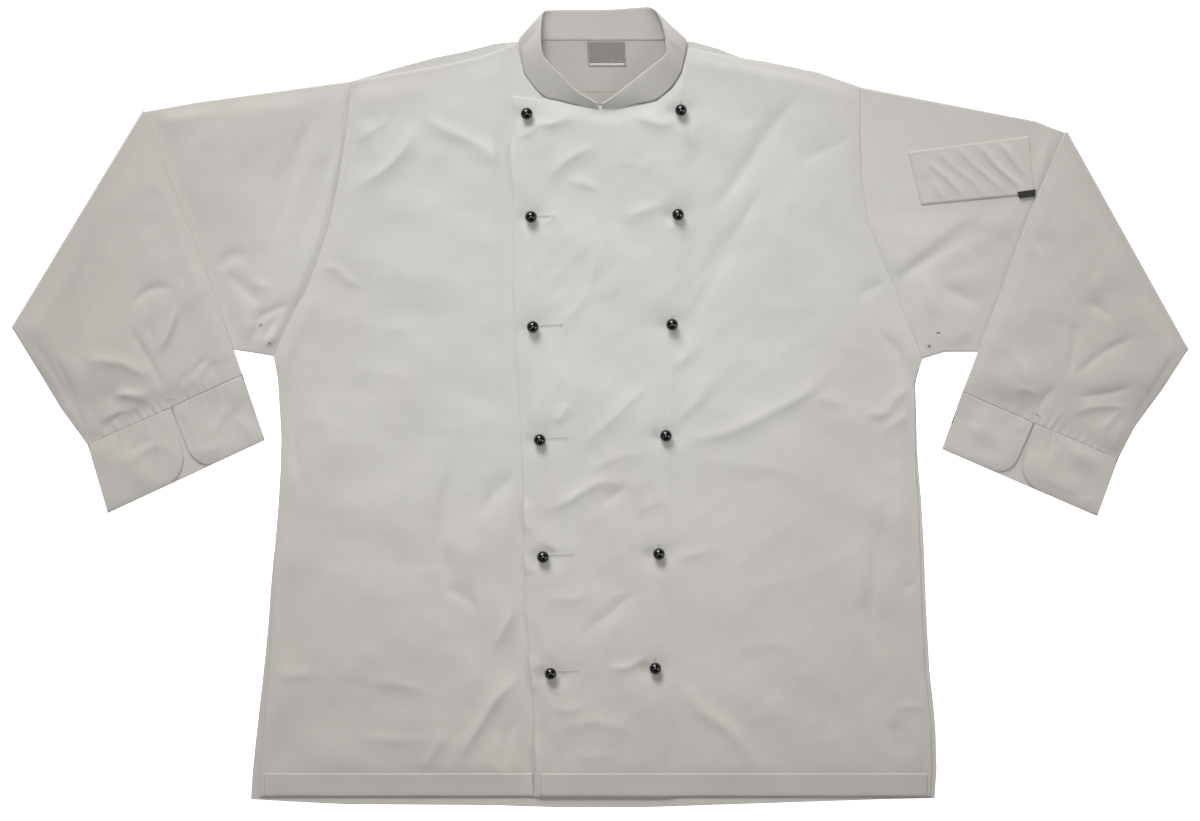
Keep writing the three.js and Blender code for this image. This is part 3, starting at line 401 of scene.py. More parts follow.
def rounded(rows: Array, between: int) -> Array:
    """Add points to a line, on a smooth curve through its own.

    Args:
        rows: The line's points, or rows of other numbers.
        between: How many steps each of its stretches gets.

    Returns:
        The finer line.
    """
    before = np.concatenate([rows[:1], rows[:-1]])
    after = np.concatenate([rows[1:], rows[-1:]])
    last = np.concatenate([rows[2:], rows[-1:], rows[-1:]])
    parts = []
    for k in range(between):
        t = k / between
        curve = (
            (-0.5 * t + t**2 - 0.5 * t**3) * before
            + (1 - 2.5 * t**2 + 1.5 * t**3) * rows
            + (0.5 * t + 2 * t**2 - 1.5 * t**3) * after
            + (-0.5 * t**2 + 0.5 * t**3) * last
        )
        parts.append(curve[:-1])
    return np.concatenate([np.stack(parts, 1).reshape(-1, rows.shape[1]), rows[-1:]])


def crease(aside: Array) -> Array:
    """The height of a crease across it: a narrow crest and long soft sides."""
    return np.exp(-1.25 * (np.sqrt(aside * aside + 0.07) - 0.2646))


def dip(distance: Array) -> Array:
    """How far cloth rounds down close to its edge."""
    return EDGE_DIP * (1 - smooth(0, EDGE_REACH, distance)) ** 2


@dataclass(frozen=True)
class Folds:
    """Soft ridges and troughs in cloth, along lines, fading at their ends."""

    rows: tuple[tuple[Points, float, float, float], ...]
    end: float = 0.36

    def height(self, x: Array, y: Array) -> Array:
        """The height of all the folds at each place."""
        total = np.zeros(np.broadcast(x, y).shape)
        x, y = np.broadcast_to(x, total.shape), np.broadcast_to(y, total.shape)
        for points, height, width, offset in self.rows:
            rows = rounded(np.asarray(points, float), 5)
            reach = 3.2 * width + abs(offset)
            low, high = rows.min(axis=0) - reach, rows.max(axis=0) + reach
            near = (x > low[0]) & (x < high[0]) & (y > low[1]) & (y < high[1])
            share, aside = self.beside(rows, x[near], y[near])
            taper = smooth(0, self.end, share) * smooth(0, self.end, 1 - share)
            total[near] += FOLD_STRENGTH * height * taper * crease((aside - offset) / width)
        return total

    @staticmethod
    def beside(rows: Array, x: Array, y: Array) -> tuple[Array, Array]:
        """Where places are along a line, and how far to its left.

        Args:
            rows: The line's points.
            x: The places' x.
            y: The places' y.

        Returns:
            The share along the line, and the distance from it, positive on its left.
        """
        steps = np.diff(rows, axis=0)
        lengths = np.hypot(*steps.T)
        sums = np.concatenate([[0.0], np.cumsum(lengths)])
        best = np.full(x.shape, np.inf)
        share, aside = np.zeros(x.shape), np.zeros(x.shape)
        for start, step, length, before in zip(rows, steps / lengths[:, None], lengths, sums):
            along = (x - start[0]) * step[0] + (y - start[1]) * step[1]
            left = (y - start[1]) * step[0] - (x - start[0]) * step[1]
            inside = np.clip(along, 0, length)
            distance = np.hypot(along - inside, left)
            closer = distance < best
            best = np.where(closer, distance, best)
            share = np.where(closer, (before + inside) / sums[-1], share)
            aside = np.where(closer, np.where(left < 0, -distance, distance), aside)
        return share, aside


@dataclass(frozen=True)
class Rumples:
    """Many small creases, which cloth keeps from wear and pressing."""

    seed: int
    count: int
    low: tuple[float, float]
    high: tuple[float, float]
    heading: float
    scatter: float = 0.7
    size: float = 0.27

    def at(self, x: Array, y: Array) -> Array:
        """The height of the small creases at each place."""
        chance = np.random.default_rng(self.seed)
        total = np.zeros(np.broadcast(x, y).shape)
        for _ in range(self.count):
            cx, cy = (chance.uniform(a, b) for a, b in zip(self.low, self.high))
            angle = self.heading + chance.normal(0, self.scatter)
            half, width = chance.uniform(7, 30), chance.uniform(2.6, 7.5)
            height, bow = chance.normal(0, self.size), chance.uniform(-5, 5)
            near = (np.abs(x - cx) < 2.2 * half) & (np.abs(y - cy) < 2.2 * half)
            dx, dy = x[near] - cx, y[near] - cy
            along = (dx * math.cos(angle) + dy * math.sin(angle)) / half
            aside = (dy * math.cos(angle) - dx * math.sin(angle) - bow * along**2) / width
            total[near] += height * np.exp(-(along**2)) * crease(aside)
        return total


@dataclass(frozen=True)
class Undulation:
    """The slight uneven waves of cloth that has seen wear and been laid down."""

    seed: int
    pitch: float
    height: float
    waves: int = 22

    def at(self, x: Array, y: Array) -> Array:
        """The height of the waves at each place."""
        chance = np.random.default_rng(self.seed)
        total = np.zeros(np.broadcast(x, y).shape)
        for _ in range(self.waves):
            angle, phase = chance.uniform(0, 2 * math.pi, 2)
            turn = 2 * math.pi / (self.pitch * chance.uniform(0.6, 1.8))
            total += np.sin((x * math.cos(angle) + y * math.sin(angle)) * turn + phase)
        return self.height * total / math.sqrt(self.waves / 2)


@dataclass(frozen=True)
class Relief:
    """All that raises a panel of cloth above its flat lie."""

    folds: Folds
    waves: tuple[Undulation | Rumples, ...]
    lift: float = 2.6

    def at(self, x: Array, y: Array) -> Array:
        """The height at each place, never below the flat lie."""
        height = self.lift + self.folds.height(x, y)
        for wave in self.waves:
            height = height + wave.at(x, y)
        return 0.5 * (height + np.sqrt(height * height + 0.2))


def link(name: str, mesh: bpy.types.Mesh) -> bpy.types.Object:
    """Put a mesh into the scene under a name."""
    piece = bpy.data.objects.new(name, mesh)
    bpy.context.scene.collection.objects.link(piece)
    return piece


def closed_wall(name: str, outer: Array, inner: Array, weave: Array, tube: bool = False) -> bpy.types.Object:
    """Make a closed wall of cloth between two grids of points.

    Args:
        name: The piece's name.
        outer: Points in millimetres, rows by columns.
        inner: The other face's points, in the same rows and columns.
        weave: The place of each point on the flat cloth, in millimetres. A tube's has one more
            column, where it closes.
        tube: Whether the columns run round and close.

    Returns:
        The new object.
    """
    rows, columns = outer.shape[:2]
    last = columns if tube else columns - 1
    i, j = (part.ravel() for part in np.meshgrid(np.arange(rows - 1), np.arange(last), indexing="ij"))
    edge_j, edge_i = np.arange(last), np.arange(rows - 1)
    low, high = np.zeros_like(edge_j), np.full_like(edge_j, rows - 1)
    first, end = np.zeros_like(edge_i), np.full_like(edge_i, columns - 1)
    strips = [
        ((0, i, j), (0, i, j + 1), (0, i + 1, j + 1), (0, i + 1, j)),
        ((1, i, j), (1, i + 1, j), (1, i + 1, j + 1), (1, i, j + 1)),
        ((0, low, edge_j), (1, low, edge_j), (1, low, edge_j + 1), (0, low, edge_j + 1)),
        ((0, high, edge_j), (0, high, edge_j + 1), (1, high, edge_j + 1), (1, high, edge_j)),
    ]
    if not tube:
        strips += [
            ((0, edge_i, first), (0, edge_i + 1, first), (1, edge_i + 1, first), (1, edge_i, first)),
            ((0, edge_i, end), (1, edge_i, end), (1, edge_i + 1, end), (0, edge_i + 1, end)),
        ]
    faces, places = [], []
    for strip in strips:
        faces.append(np.stack([s * rows * columns + r * columns + c % columns for s, r, c in strip], -1))
        places.append(np.stack([weave[r, c] for _, r, c in strip], 1))
    face, place = np.concatenate(faces), np.concatenate(places)
    points = np.concatenate([outer.reshape(-1, 3), inner.reshape(-1, 3)]) * MM
    a, b, c, d = (points[face[:, k]] for k in range(4))
    volume = np.sum(np.cross(a, b) * c) + np.sum(np.cross(a, c) * d)
    if volume < 0:
        face, place = face[:, ::-1], place[:, ::-1]
    mesh = bpy.data.meshes.new(name)
    mesh.from_pydata(points.tolist(), [], face.tolist())
    mesh.uv_layers.new(name=WEAVE_MAP).data.foreach_set("uv", (place * MM).ravel())
    mesh.shade_smooth()
    mesh.update()
    return link(name, mesh)


def laid_wall(name: str, upper: Array, wall: float = CLOTH, floor: float = 0.0) -> bpy.types.Object:
    """A wall of cloth that lies flat: the upper grid, and the same grid one wall lower."""
    lower = upper.copy()
    lower[..., 2] = np.maximum(upper[..., 2] - wall, floor)
    return closed_wall(name, upper, lower, upper[..., :2])


class Surface:
    """The upper face of a finished piece, on which thread and trim are laid."""

    def __init__(self, piece: bpy.types.Object) -> None:
        """Keep the piece's faces for looking down on them."""
        points = [vertex.co.copy() for vertex in piece.data.vertices]
        self.faces = BVHTree.FromPolygons(points, [tuple(p.vertices) for p in piece.data.polygons])

    def height(self, x: float, y: float) -> float | None:
        """The highest cloth at a place, or None beside the piece."""
        hit = self.faces.ray_cast(Vector((x * MM, y * MM, 0.2)), Vector((0, 0, -1)))
        return None if hit[0] is None else hit[0].z / MM

    def lay(self, points: Sequence[Sequence[float]], lift: float = 0.1, step: float = 2.0) -> Line:
        """Lay a line on the cloth.

        Args:
            points: The line's corners, with x and y.
            lift: How far above the cloth it runs.
            step: The distance between its points.

        Returns:
            The line's points, leaving out any that are beside the piece.
        """
        rows = np.asarray(points, float)[:, :2]
        length = float(np.sum(np.hypot(*np.diff(rows, axis=0).T)))
        line = []
        for x, y in on_path(rows, np.linspace(0, 1, max(2, round(length / step) + 1))):
            height = self.height(x, y)
            if height is not None:
                line.append((float(x), float(y), height + lift))
        return line


def beside(points: Sequence[Sequence[float]], distance: float, step: float = 4.0) -> Array:
    """A line that runs beside another one.

    Args:
        points: The first line, with x and y.
        distance: How far to its left the new line runs. A negative one runs to its right.
        step: The distance between its points.

    Returns:
        The new line's points.
    """
    rows = np.asarray(points, float)[:, :2]
    length = float(np.sum(np.hypot(*np.diff(rows, axis=0).T)))
    line = on_path(rows, np.linspace(0, 1, max(3, round(length / step) + 1)))
    run = np.gradient(line, axis=0)
    run /= np.linalg.norm(run, axis=1, keepdims=True)
    return line + distance * np.stack([-run[:, 1], run[:, 0]], -1)


class Builder:
    """Makes nodes in one node tree."""

    def __init__(self, tree: bpy.types.NodeTree) -> None:
        """Keep the tree that nodes are made in."""
        self.tree = tree

    def node(self, kind: str, settings: dict | None = None, values: dict | None = None) -> bpy.types.Node:
        """Make a node.

        Args:
            kind: The node's type.
            settings: Its own properties. The key "stops" holds a ramp's positions and colours.
            values: What goes into its sockets, by name or number: a value or something linked.

        Returns:
            The new node.
        """
        made = self.tree.nodes.new(kind)
        for key, value in (settings or {}).items():
            if key == "stops":
                self.set_stops(made.color_ramp, value)
            else:
                setattr(made, key, value)
        for key, value in (values or {}).items():
            self.feed(made.inputs[key], value)
        return made

    def feed(self, socket: bpy.types.NodeSocket, value: object) -> None:
        """Link something to a socket, or set the socket's own value."""
        if isinstance(value, Sock):
            value = value.socket
        if isinstance(value, bpy.types.NodeSocket):
            self.tree.links.new(value, socket)
        else:
            socket.default_value = value

    @staticmethod
    def set_stops(ramp: bpy.types.ColorRamp, stops: Sequence[tuple[float, tuple]]) -> None:
        """Give a ramp its stops."""
        while len(ramp.elements) < len(stops):
            ramp.elements.new(0.5)
        for element, (position, color) in zip(ramp.elements, stops):
            element.position, element.color = position, color


@dataclass
class Sock:
    """A shader value that can stand in arithmetic."""

    builder: Builder
    socket: bpy.types.NodeSocket

    def math(self, operation: str, other: object = None, swap: bool = False) -> "Sock":
        """One Math node on this value and perhaps another."""
        pair = [self] if other is None else [other, self] if swap else [self, other]
        node = self.builder.node("ShaderNodeMath", {"operation": operation}, dict(enumerate(pair)))
        return Sock(self.builder, node.outputs[0])

    def __add__(self, other: object) -> "Sock":
        """This value plus another."""
        return self.math("ADD", other)

    def __sub__(self, other: object) -> "Sock":
        """This value less another."""
        return self.math("SUBTRACT", other)

    def __rsub__(self, other: object) -> "Sock":
        """Another value less this one."""
        return self.math("SUBTRACT", other, swap=True)

    def __mul__(self, other: object) -> "Sock":
        """This value times another."""
        return self.math("MULTIPLY", other)

    __radd__ = __add__
    __rmul__ = __mul__

    def sine(self) -> "Sock":
        """The sine of this value."""
        return self.math("SINE")

    def positive(self) -> "Sock":
        """This value without its sign."""
        return self.math("ABSOLUTE")


class Paint(Builder):
    """The nodes of one material."""

    def __init__(self, name: str) -> None:
        """Make the material with its main shader alone."""
        self.material = bpy.data.materials.new(name)
        self.material.use_nodes = True
        super().__init__(self.material.node_tree)
        self.tree.nodes.clear()
        self.shader = self.node("ShaderNodeBsdfPrincipled")
        self.node("ShaderNodeOutputMaterial", values={"Surface": self.shader.outputs[0]})

    def set(self, **values: object) -> None:
        """Fill the main shader's sockets, an underscore standing for a space."""
        for key, value in values.items():
            self.feed(self.shader.inputs[key.replace("_", " ")], value)

    def number(self, socket: bpy.types.NodeSocket) -> Sock:
        """Wrap a socket for arithmetic."""
        return Sock(self, socket)

    def weave_place(self) -> bpy.types.NodeSocket:
        """Places on the piece's flat cloth, in metres."""
        return self.node("ShaderNodeUVMap", {"uv_map": WEAVE_MAP}).outputs[0]

    def object_place(self) -> bpy.types.NodeSocket:
        """Places in the object's own frame, in metres."""
        return self.node("ShaderNodeTexCoord").outputs["Object"]

    def noise(self, place: bpy.types.NodeSocket, size: float, detail: float = 2.0) -> Sock:
        """Soft random patches of about the given size in metres, from 0 to 1."""
        values = {"Vector": place, "Scale": 1 / size, "Detail": detail, "Roughness": 0.55}
        return self.number(self.node("ShaderNodeTexNoise", values=values).outputs[0])

    def stripes(self, place: bpy.types.NodeSocket, direction: tuple[float, float], pitch: float) -> Sock:
        """Even stripes from -1 to 1 across a direction."""
        length = math.hypot(*direction)
        turn = 2 * math.pi / pitch
        across = (direction[0] / length * turn, direction[1] / length * turn, 0.0)
        dot = self.node("ShaderNodeVectorMath", {"operation": "DOT_PRODUCT"}, {0: place, 1: across})
        return self.number(dot.outputs["Value"]).sine()

    def blend(self, share: Sock, low: tuple, high: tuple) -> bpy.types.NodeSocket:
        """A colour between two, by a share."""
        settings = {"data_type": "RGBA", "blend_type": "MIX"}
        node = self.node("ShaderNodeMix", settings, {0: share, 6: (*low, 1), 7: (*high, 1)})
        return node.outputs[2]

    def distance(self, place: bpy.types.NodeSocket, centre: tuple[float, float, float]) -> Sock:
        """The distance in metres from a centre."""
        settings = {"operation": "DISTANCE"}
        node = self.node("ShaderNodeVectorMath", settings, {0: place, 1: centre})
        return self.number(node.outputs["Value"])

    def tinted(self, color: bpy.types.NodeSocket, share: Sock, tint: tuple) -> bpy.types.NodeSocket:
        """A colour multiplied by a tint, by a share."""
        settings = {"data_type": "RGBA", "blend_type": "MULTIPLY", "clamp_factor": True}
        return self.node("ShaderNodeMix", settings, {0: share, 6: color, 7: (*tint, 1)}).outputs[2]

    def bump(self, height: Sock, depth: float, strength: float = 1.0) -> bpy.types.NodeSocket:
        """A normal raised by a height from 0 to 1 and its depth in metres."""
        values = {"Strength": strength, "Distance": depth, "Height": height}
        return self.node("ShaderNodeBump", values=values).outputs[0]


@dataclass(frozen=True)
class TwillFinish:
    """White polycotton twill with its diagonal ribs, faint patches and soft sheen, and painted shade that darkens and
    warms it away from a lit centre on the chest.
    """

    name: str = "white twill"
    pale: tuple[float, float, float] = (0.640, 0.634, 0.606)
    grey: tuple[float, float, float] = (0.585, 0.570, 0.548)
    # Painted shade: the tint the cloth takes beyond the lit centre's reach, standing in for the light's falloff.
    falloff_tint: tuple[float, float, float] = (0.93, 0.895, 0.88)
    lit_centre: tuple[float, float, float] = (0.0, 0.16, 0.0)
    lit_reach: float = 0.16
    rib: float = 0.0009
    thread: float = 0.00045
    depth: float = 0.00006

    def material(self) -> bpy.types.Material:
        """Make the material."""
        paint = Paint(self.name)
        place = paint.weave_place()
        broad = paint.noise(place, 0.16, 3.0)
        small = paint.noise(place, 0.012, 2.0)
        ribs = paint.stripes(place, (1.0, 0.62), self.rib)
        threads = paint.stripes(place, (1.0, 0.0), self.thread)
        fine = paint.noise(place, 0.0022, 1.0)
        share = broad * 1.5 - 0.35 + (small - 0.5) * 0.45 + (fine - 0.5) * 0.4 + ribs * 0.035
        weave = ribs * 0.32 + threads * 0.12 + small * 0.25 + 0.3
        # Painted shade: darker and warmer with distance from the lit centre, as the light falls off, with some random
        # patches mixed in.
        away = paint.distance(paint.object_place(), self.lit_centre)
        painted_falloff_and_patches = (away - self.lit_reach) * 3.0 + (broad - 0.5) * 0.4
        paint.set(
            Base_Color=paint.tinted(paint.blend(share, self.pale, self.grey), painted_falloff_and_patches, self.falloff_tint),
            Roughness=0.86 + (small - 0.5) * 0.12,
            Sheen_Weight=0.12,
            Sheen_Roughness=0.45,
            Specular_IOR_Level=0.25,
            Normal=paint.bump(weave, self.depth, 0.7),
        )
        return paint.material


@dataclass(frozen=True)
class ThreadFinish:
    """Spun sewing thread with a fine twist."""

    name: str
    light: tuple[float, float, float]
    dark: tuple[float, float, float]
    twist: float = 0.0005

    def material(self) -> bpy.types.Material:
        """Make the material."""
        paint = Paint(self.name)
        place = paint.object_place()
        twist = paint.stripes(place, (1.0, 0.8), self.twist)
        patch = paint.noise(place, 0.006)
        paint.set(
            Base_Color=paint.blend(twist * 0.2 + patch * 0.8, self.light, self.dark),
            Roughness=0.7 + patch * 0.15,
            Sheen_Weight=0.1,
            Normal=paint.bump(twist * 0.5 + 0.5, 0.00004, 0.5),
        )
        return paint.material


@dataclass(frozen=True)
class RibbonFinish:
    """Woven ribbon with ribs across it."""

    name: str
    light: tuple[float, float, float]
    dark: tuple[float, float, float]
    rib: float = 0.0007

    def material(self) -> bpy.types.Material:
        """Make the material."""
        paint = Paint(self.name)
        place = paint.weave_place()
        across = paint.stripes(place, (0.0, 1.0), self.rib)
        along = paint.stripes(place, (1.0, 0.0), self.rib * 0.8)
        patch = paint.noise(place, 0.007, 3.0)
        weave = across * 0.3 + along * 0.2 + 0.5
        paint.set(
            Base_Color=paint.blend(patch * 0.8 + along * 0.12 + 0.1, self.light, self.dark),
            Roughness=0.62 + patch * 0.2,
            Sheen_Weight=0.15,
            Normal=paint.bump(weave, 0.00008, 0.8),
        )
        return paint.material


@dataclass(frozen=True)
class StudFinish:
    """Polished black plastic, with faint dust and hairline wear."""

    name: str = "black stud plastic"

    def material(self) -> bpy.types.Material:
        """Make the material."""
        paint = Paint(self.name)
        place = paint.object_place()
        dust = paint.noise(place, 0.0035, 4.0)
        swirl = paint.noise(place, 0.02, 2.0)
        paint.set(
            Base_Color=paint.blend(dust * 0.5 + swirl * 0.3, (0.004, 0.004, 0.005), (0.011, 0.011, 0.013)),
            Roughness=0.1 + dust * 0.12,
            IOR=1.5,
            Coat_Weight=0.5,
            Coat_Roughness=0.05,
            Normal=paint.bump(swirl, 0.00005, 0.3),
        )
        return paint.material


@dataclass(frozen=True)
class FloorFinish:
    """A plain pale surface that glows a little, so that it stays near white."""

    name: str = "pale floor"
    color: tuple[float, float, float] = (0.9, 0.9, 0.9)
    glow: float = 0.85

    def material(self) -> bpy.types.Material:
        """Make the material."""
        paint = Paint(self.name)
        patch = paint.noise(paint.object_place(), 0.5)
        paint.set(
            Base_Color=paint.blend(patch, self.color, tuple(c * 0.985 for c in self.color)),
            Roughness=0.7,
            Emission_Color=(1, 1, 1, 1),
            Emission_Strength=self.glow,
        )
        return paint.material


@dataclass
class Finishes:
    """Every material of the jacket, made once."""

    twill: bpy.types.Material = field(default_factory=lambda: TwillFinish().material())
    # Painted shade: the collar gets a darker copy of the twill, for the shade on its standing wings.
    collar: bpy.types.Material = field(
        default_factory=lambda: TwillFinish("collar twill with painted shade", (0.575, 0.56, 0.535), (0.51, 0.49, 0.465)).material()
    )
    # Painted shade: the facing gets a still darker copy of the twill, for the shade inside the neck.
    facing: bpy.types.Material = field(
        default_factory=lambda: TwillFinish("facing twill with painted shade", (0.47, 0.455, 0.43), (0.42, 0.405, 0.385)).material()
    )
    thread: bpy.types.Material = field(
        default_factory=lambda: ThreadFinish("white thread", (0.66, 0.655, 0.63), (0.56, 0.55, 0.53)).material()
    )
    binding: bpy.types.Material = field(
        default_factory=lambda: ThreadFinish("aged binding", (0.58, 0.46, 0.26), (0.48, 0.40, 0.26)).material()
    )
    # Painted shade: dark thread laid in the openings of the buttonholes and eyelets, where only shade shows through.
    slit: bpy.types.Material = field(
        default_factory=lambda: ThreadFinish("slit shadow thread", (0.27, 0.26, 0.25), (0.18, 0.17, 0.17)).material()
    )
    label: bpy.types.Material = field(
        default_factory=lambda: RibbonFinish("grey label ribbon", (0.27, 0.255, 0.235), (0.19, 0.18, 0.165)).material()
    )
    tab: bpy.types.Material = field(
        default_factory=lambda: RibbonFinish("black tab ribbon", (0.012, 0.012, 0.014), (0.022, 0.022, 0.026)).material()
    )
    stud: bpy.types.Material = field(default_factory=lambda: StudFinish().material())


@dataclass(frozen=True)
class Thread:
    """The size of a stitch and how the stitches follow each other."""

    pitch: float
    length: float
    width: float = 0.42
    height: float = 0.36
    turned: bool = False
    upright: bool = False
    segments: int = 6
    rings: int = 3
    uneven: float = 0.12


RUNNING = Thread(pitch=3.4, length=2.7)
FINE_RUNNING = Thread(pitch=2.8, length=2.2, width=0.36, height=0.3)
STANDING = Thread(pitch=3.2, length=2.5, upright=True)
SATIN = Thread(pitch=0.62, length=1.5, width=0.5, height=0.42, turned=True, segments=5, uneven=0.05)
BARTACK = Thread(pitch=0.5, length=1.7, width=0.48, height=0.6, turned=True, segments=5, uneven=0.08)


class StitchMaker:
    """Sews stitches along lines with Geometry Nodes."""

    SIZES = ("Pitch", "Length", "Width", "Height", "Turn", "Uneven")

    def __init__(self) -> None:
        """Build one tree for stitches that follow the cloth and one for standing cloth."""
        self.trees = {upright: self.build_tree(upright) for upright in (False, True)}

    def build_tree(self, upright: bool) -> bpy.types.NodeTree:
        """Build the stitch tree.

        Args:
            upright: Whether the cloth stands up, so that stitches may roll as they follow it.

        Returns:
            The node group, with its sizes, thread counts and material as named inputs.
        """
        group = bpy.data.node_groups.new("standing stitches" if upright else "laid stitches", "GeometryNodeTree")
        group.interface.new_socket("Lines", in_out="INPUT", socket_type="NodeSocketGeometry")
        for name in self.SIZES:
            group.interface.new_socket(name, in_out="INPUT", socket_type="NodeSocketFloat")
        for name in ("Segments", "Rings"):
            group.interface.new_socket(name, in_out="INPUT", socket_type="NodeSocketInt")
        group.interface.new_socket("Thread", in_out="INPUT", socket_type="NodeSocketMaterial")
        group.interface.new_socket("Stitches", in_out="OUTPUT", socket_type="NodeSocketGeometry")
        build = Builder(group)
        given = build.node("NodeGroupInput").outputs
        curve = build.node("GeometryNodeMeshToCurve", values={"Mesh": given["Lines"]})
        spaced = build.node(
            "GeometryNodeResampleCurve",
            {"mode": "LENGTH"},
            {"Curve": curve.outputs[0], "Length": given["Pitch"]},
        )
        ball = build.node(
            "GeometryNodeMeshUVSphere",
            values={"Segments": given["Segments"], "Rings": given["Rings"], "Radius": 0.5},
        )
        scale = build.node(
            "ShaderNodeCombineXYZ",
            values={"X": given["Length"], "Y": given["Width"], "Z": given["Height"]},
        )
        stitch = build.node(
            "GeometryNodeTransform", values={"Geometry": ball.outputs[0], "Scale": scale.outputs[0]}
        )
        tangent = build.node("GeometryNodeInputTangent")
        aligned = build.node(
            "FunctionNodeAlignRotationToVector",
            {"axis": "X", "pivot_axis": "AUTO" if upright else "Z"},
            {"Vector": tangent.outputs[0]},
        )
        spread_low = build.node("ShaderNodeMath", {"operation": "MULTIPLY"}, {0: given["Uneven"], 1: -1.0})
        chance = build.node("FunctionNodeRandomValue", {"data_type": "FLOAT"}, {"Seed": 7})
        build.feed(chance.inputs[2], spread_low.outputs[0])
        build.feed(chance.inputs[3], given["Uneven"])
        turn = build.node("ShaderNodeMath", {"operation": "ADD"}, {0: given["Turn"], 1: chance.outputs[1]})
        euler = build.node("ShaderNodeCombineXYZ", values={"Z": turn.outputs[0]})
        by = build.node("FunctionNodeEulerToRotation", values={"Euler": euler.outputs[0]})
        turned = build.node(
            "FunctionNodeRotateRotation",
            {"rotation_space": "LOCAL"},
            {"Rotation": aligned.outputs[0], "Rotate By": by.outputs[0]},
        )
        placed = build.node(
            "GeometryNodeInstanceOnPoints",
            values={"Points": spaced.outputs[0], "Instance": stitch.outputs[0], "Rotation": turned.outputs[0]},
        )
        real = build.node("GeometryNodeRealizeInstances", values={"Geometry": placed.outputs[0]})
        shaded = build.node("GeometryNodeSetShadeSmooth", values={"Geometry": real.outputs[0]})
        dressed = build.node(
            "GeometryNodeSetMaterial",
            values={"Geometry": shaded.outputs[0], "Material": given["Thread"]},
        )
        build.node("NodeGroupOutput", values={"Stitches": dressed.outputs[0]})
        return group

    def sew(self, name: str, lines: list[Line], thread: Thread, material: bpy.types.Material) -> bpy.types.Object:
        """Sew stitches along lines.

        Args:
            name: The piece's name.
            lines: Lines of points in millimetres.
            thread: The stitch's sizes.
            material: What the thread is made of.

        Returns:
            A plain mesh object of all the stitches.
        """
        points, edges = [], []
        for line in lines:
            if len(line) < 2:
                continue
            start = len(points)
            points += [tuple(value * MM for value in point) for point in line]
            edges += [(start + k, start + k + 1) for k in range(len(line) - 1)]
        mesh = bpy.data.meshes.new(name + "_lines")
        mesh.from_pydata(points, edges, [])
        source = link(name + "_lines", mesh)
        modifier = source.modifiers.new("stitches", "NODES")
        tree = self.trees[thread.upright]
        modifier.node_group = tree
        values = {
            "Pitch": thread.pitch * MM,
            "Length": thread.length * MM,
            "Width": thread.width * MM,
            "Height": thread.height * MM,
            "Turn": math.pi / 2 if thread.turned else 0.0,
            "Uneven": thread.uneven,
            "Segments": thread.segments,
            "Rings": thread.rings,
            "Thread": material,
        }
        return grown(source, modifier, values, name)


def grown(
    source: bpy.types.Object, modifier: bpy.types.Modifier, values: dict[str, object], name: str
) -> bpy.types.Object:
    """Turn what a Geometry Nodes modifier makes into a plain mesh object.

    Args:
        source: The object that carries the modifier, which is removed.
        modifier: The modifier.
        values: Its inputs by name.
        name: The new object's name.

    Returns:
        The plain mesh object.
    """
    for item in modifier.node_group.interface.items_tree:
        if item.item_type == "SOCKET" and item.in_out == "INPUT" and item.name in values:
            modifier[item.identifier] = values[item.name]
    graph = bpy.context.evaluated_depsgraph_get()
    mesh = bpy.data.meshes.new_from_object(source.evaluated_get(graph), depsgraph=graph)
    bpy.data.objects.remove(source)
    mesh.name = name
    return link(name, mesh)


def own(
    piece: bpy.types.Object, material: bpy.types.Material | None = None, nodes: Sequence[str] = ()
) -> bpy.types.Object:
    """Put a piece on the body, material and the nodes that it stands for."""
    if material is not None:
        piece.data.materials.clear()
        piece.data.materials.append(material)
    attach(piece, BODY)
    if nodes:
        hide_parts(*nodes)
    log.info("%s: %d faces", piece.name, len(piece.data.polygons))
    return piece


def band(
    name: str, points: Sequence[Sequence[float]], width: float, lift: float, surface: Surface
) -> bpy.types.Object:
    """A flat strip of cloth that follows a line on another piece and sinks into it at both edges.

    Args:
        name: The piece's name.
        points: The line along the strip's middle, with x and y.
        width: The strip's width.
        lift: How far it stands above the cloth.
        surface: The cloth that it lies on.

    Returns:
        The strip as a closed mesh.
    """
    profile = ((-0.5, -0.25), (-0.5, 0.2), (-0.43, 0.75), (-0.3, 1.0), (0.3, 1.0), (0.43, 0.75), (0.5, 0.2), (0.5, -0.25))
    middle = beside(points, 0.0, 3.0)
    run = np.gradient(middle, axis=0)
    run /= np.linalg.norm(run, axis=1, keepdims=True)
    left = np.stack([-run[:, 1], run[:, 0]], -1)
    rows = []
    for place, side in zip(middle, left):
        base = surface.height(*place)
        if base is None:
            continue
        row = []
        for across, up in profile:
            x, y = place + side * across * width
            here = surface.height(x, y)
            row.append((x, y, (base if here is None else here) + up * lift))
        rows.append(row)
    outer = np.array(rows)
    inner = outer.copy()
    inner[..., 2] = np.minimum(outer[..., 2], outer[:, :1, 2] + 0.0) - 0.12
    weave = outer[..., :2]
    return closed_wall(name, outer, inner, weave)


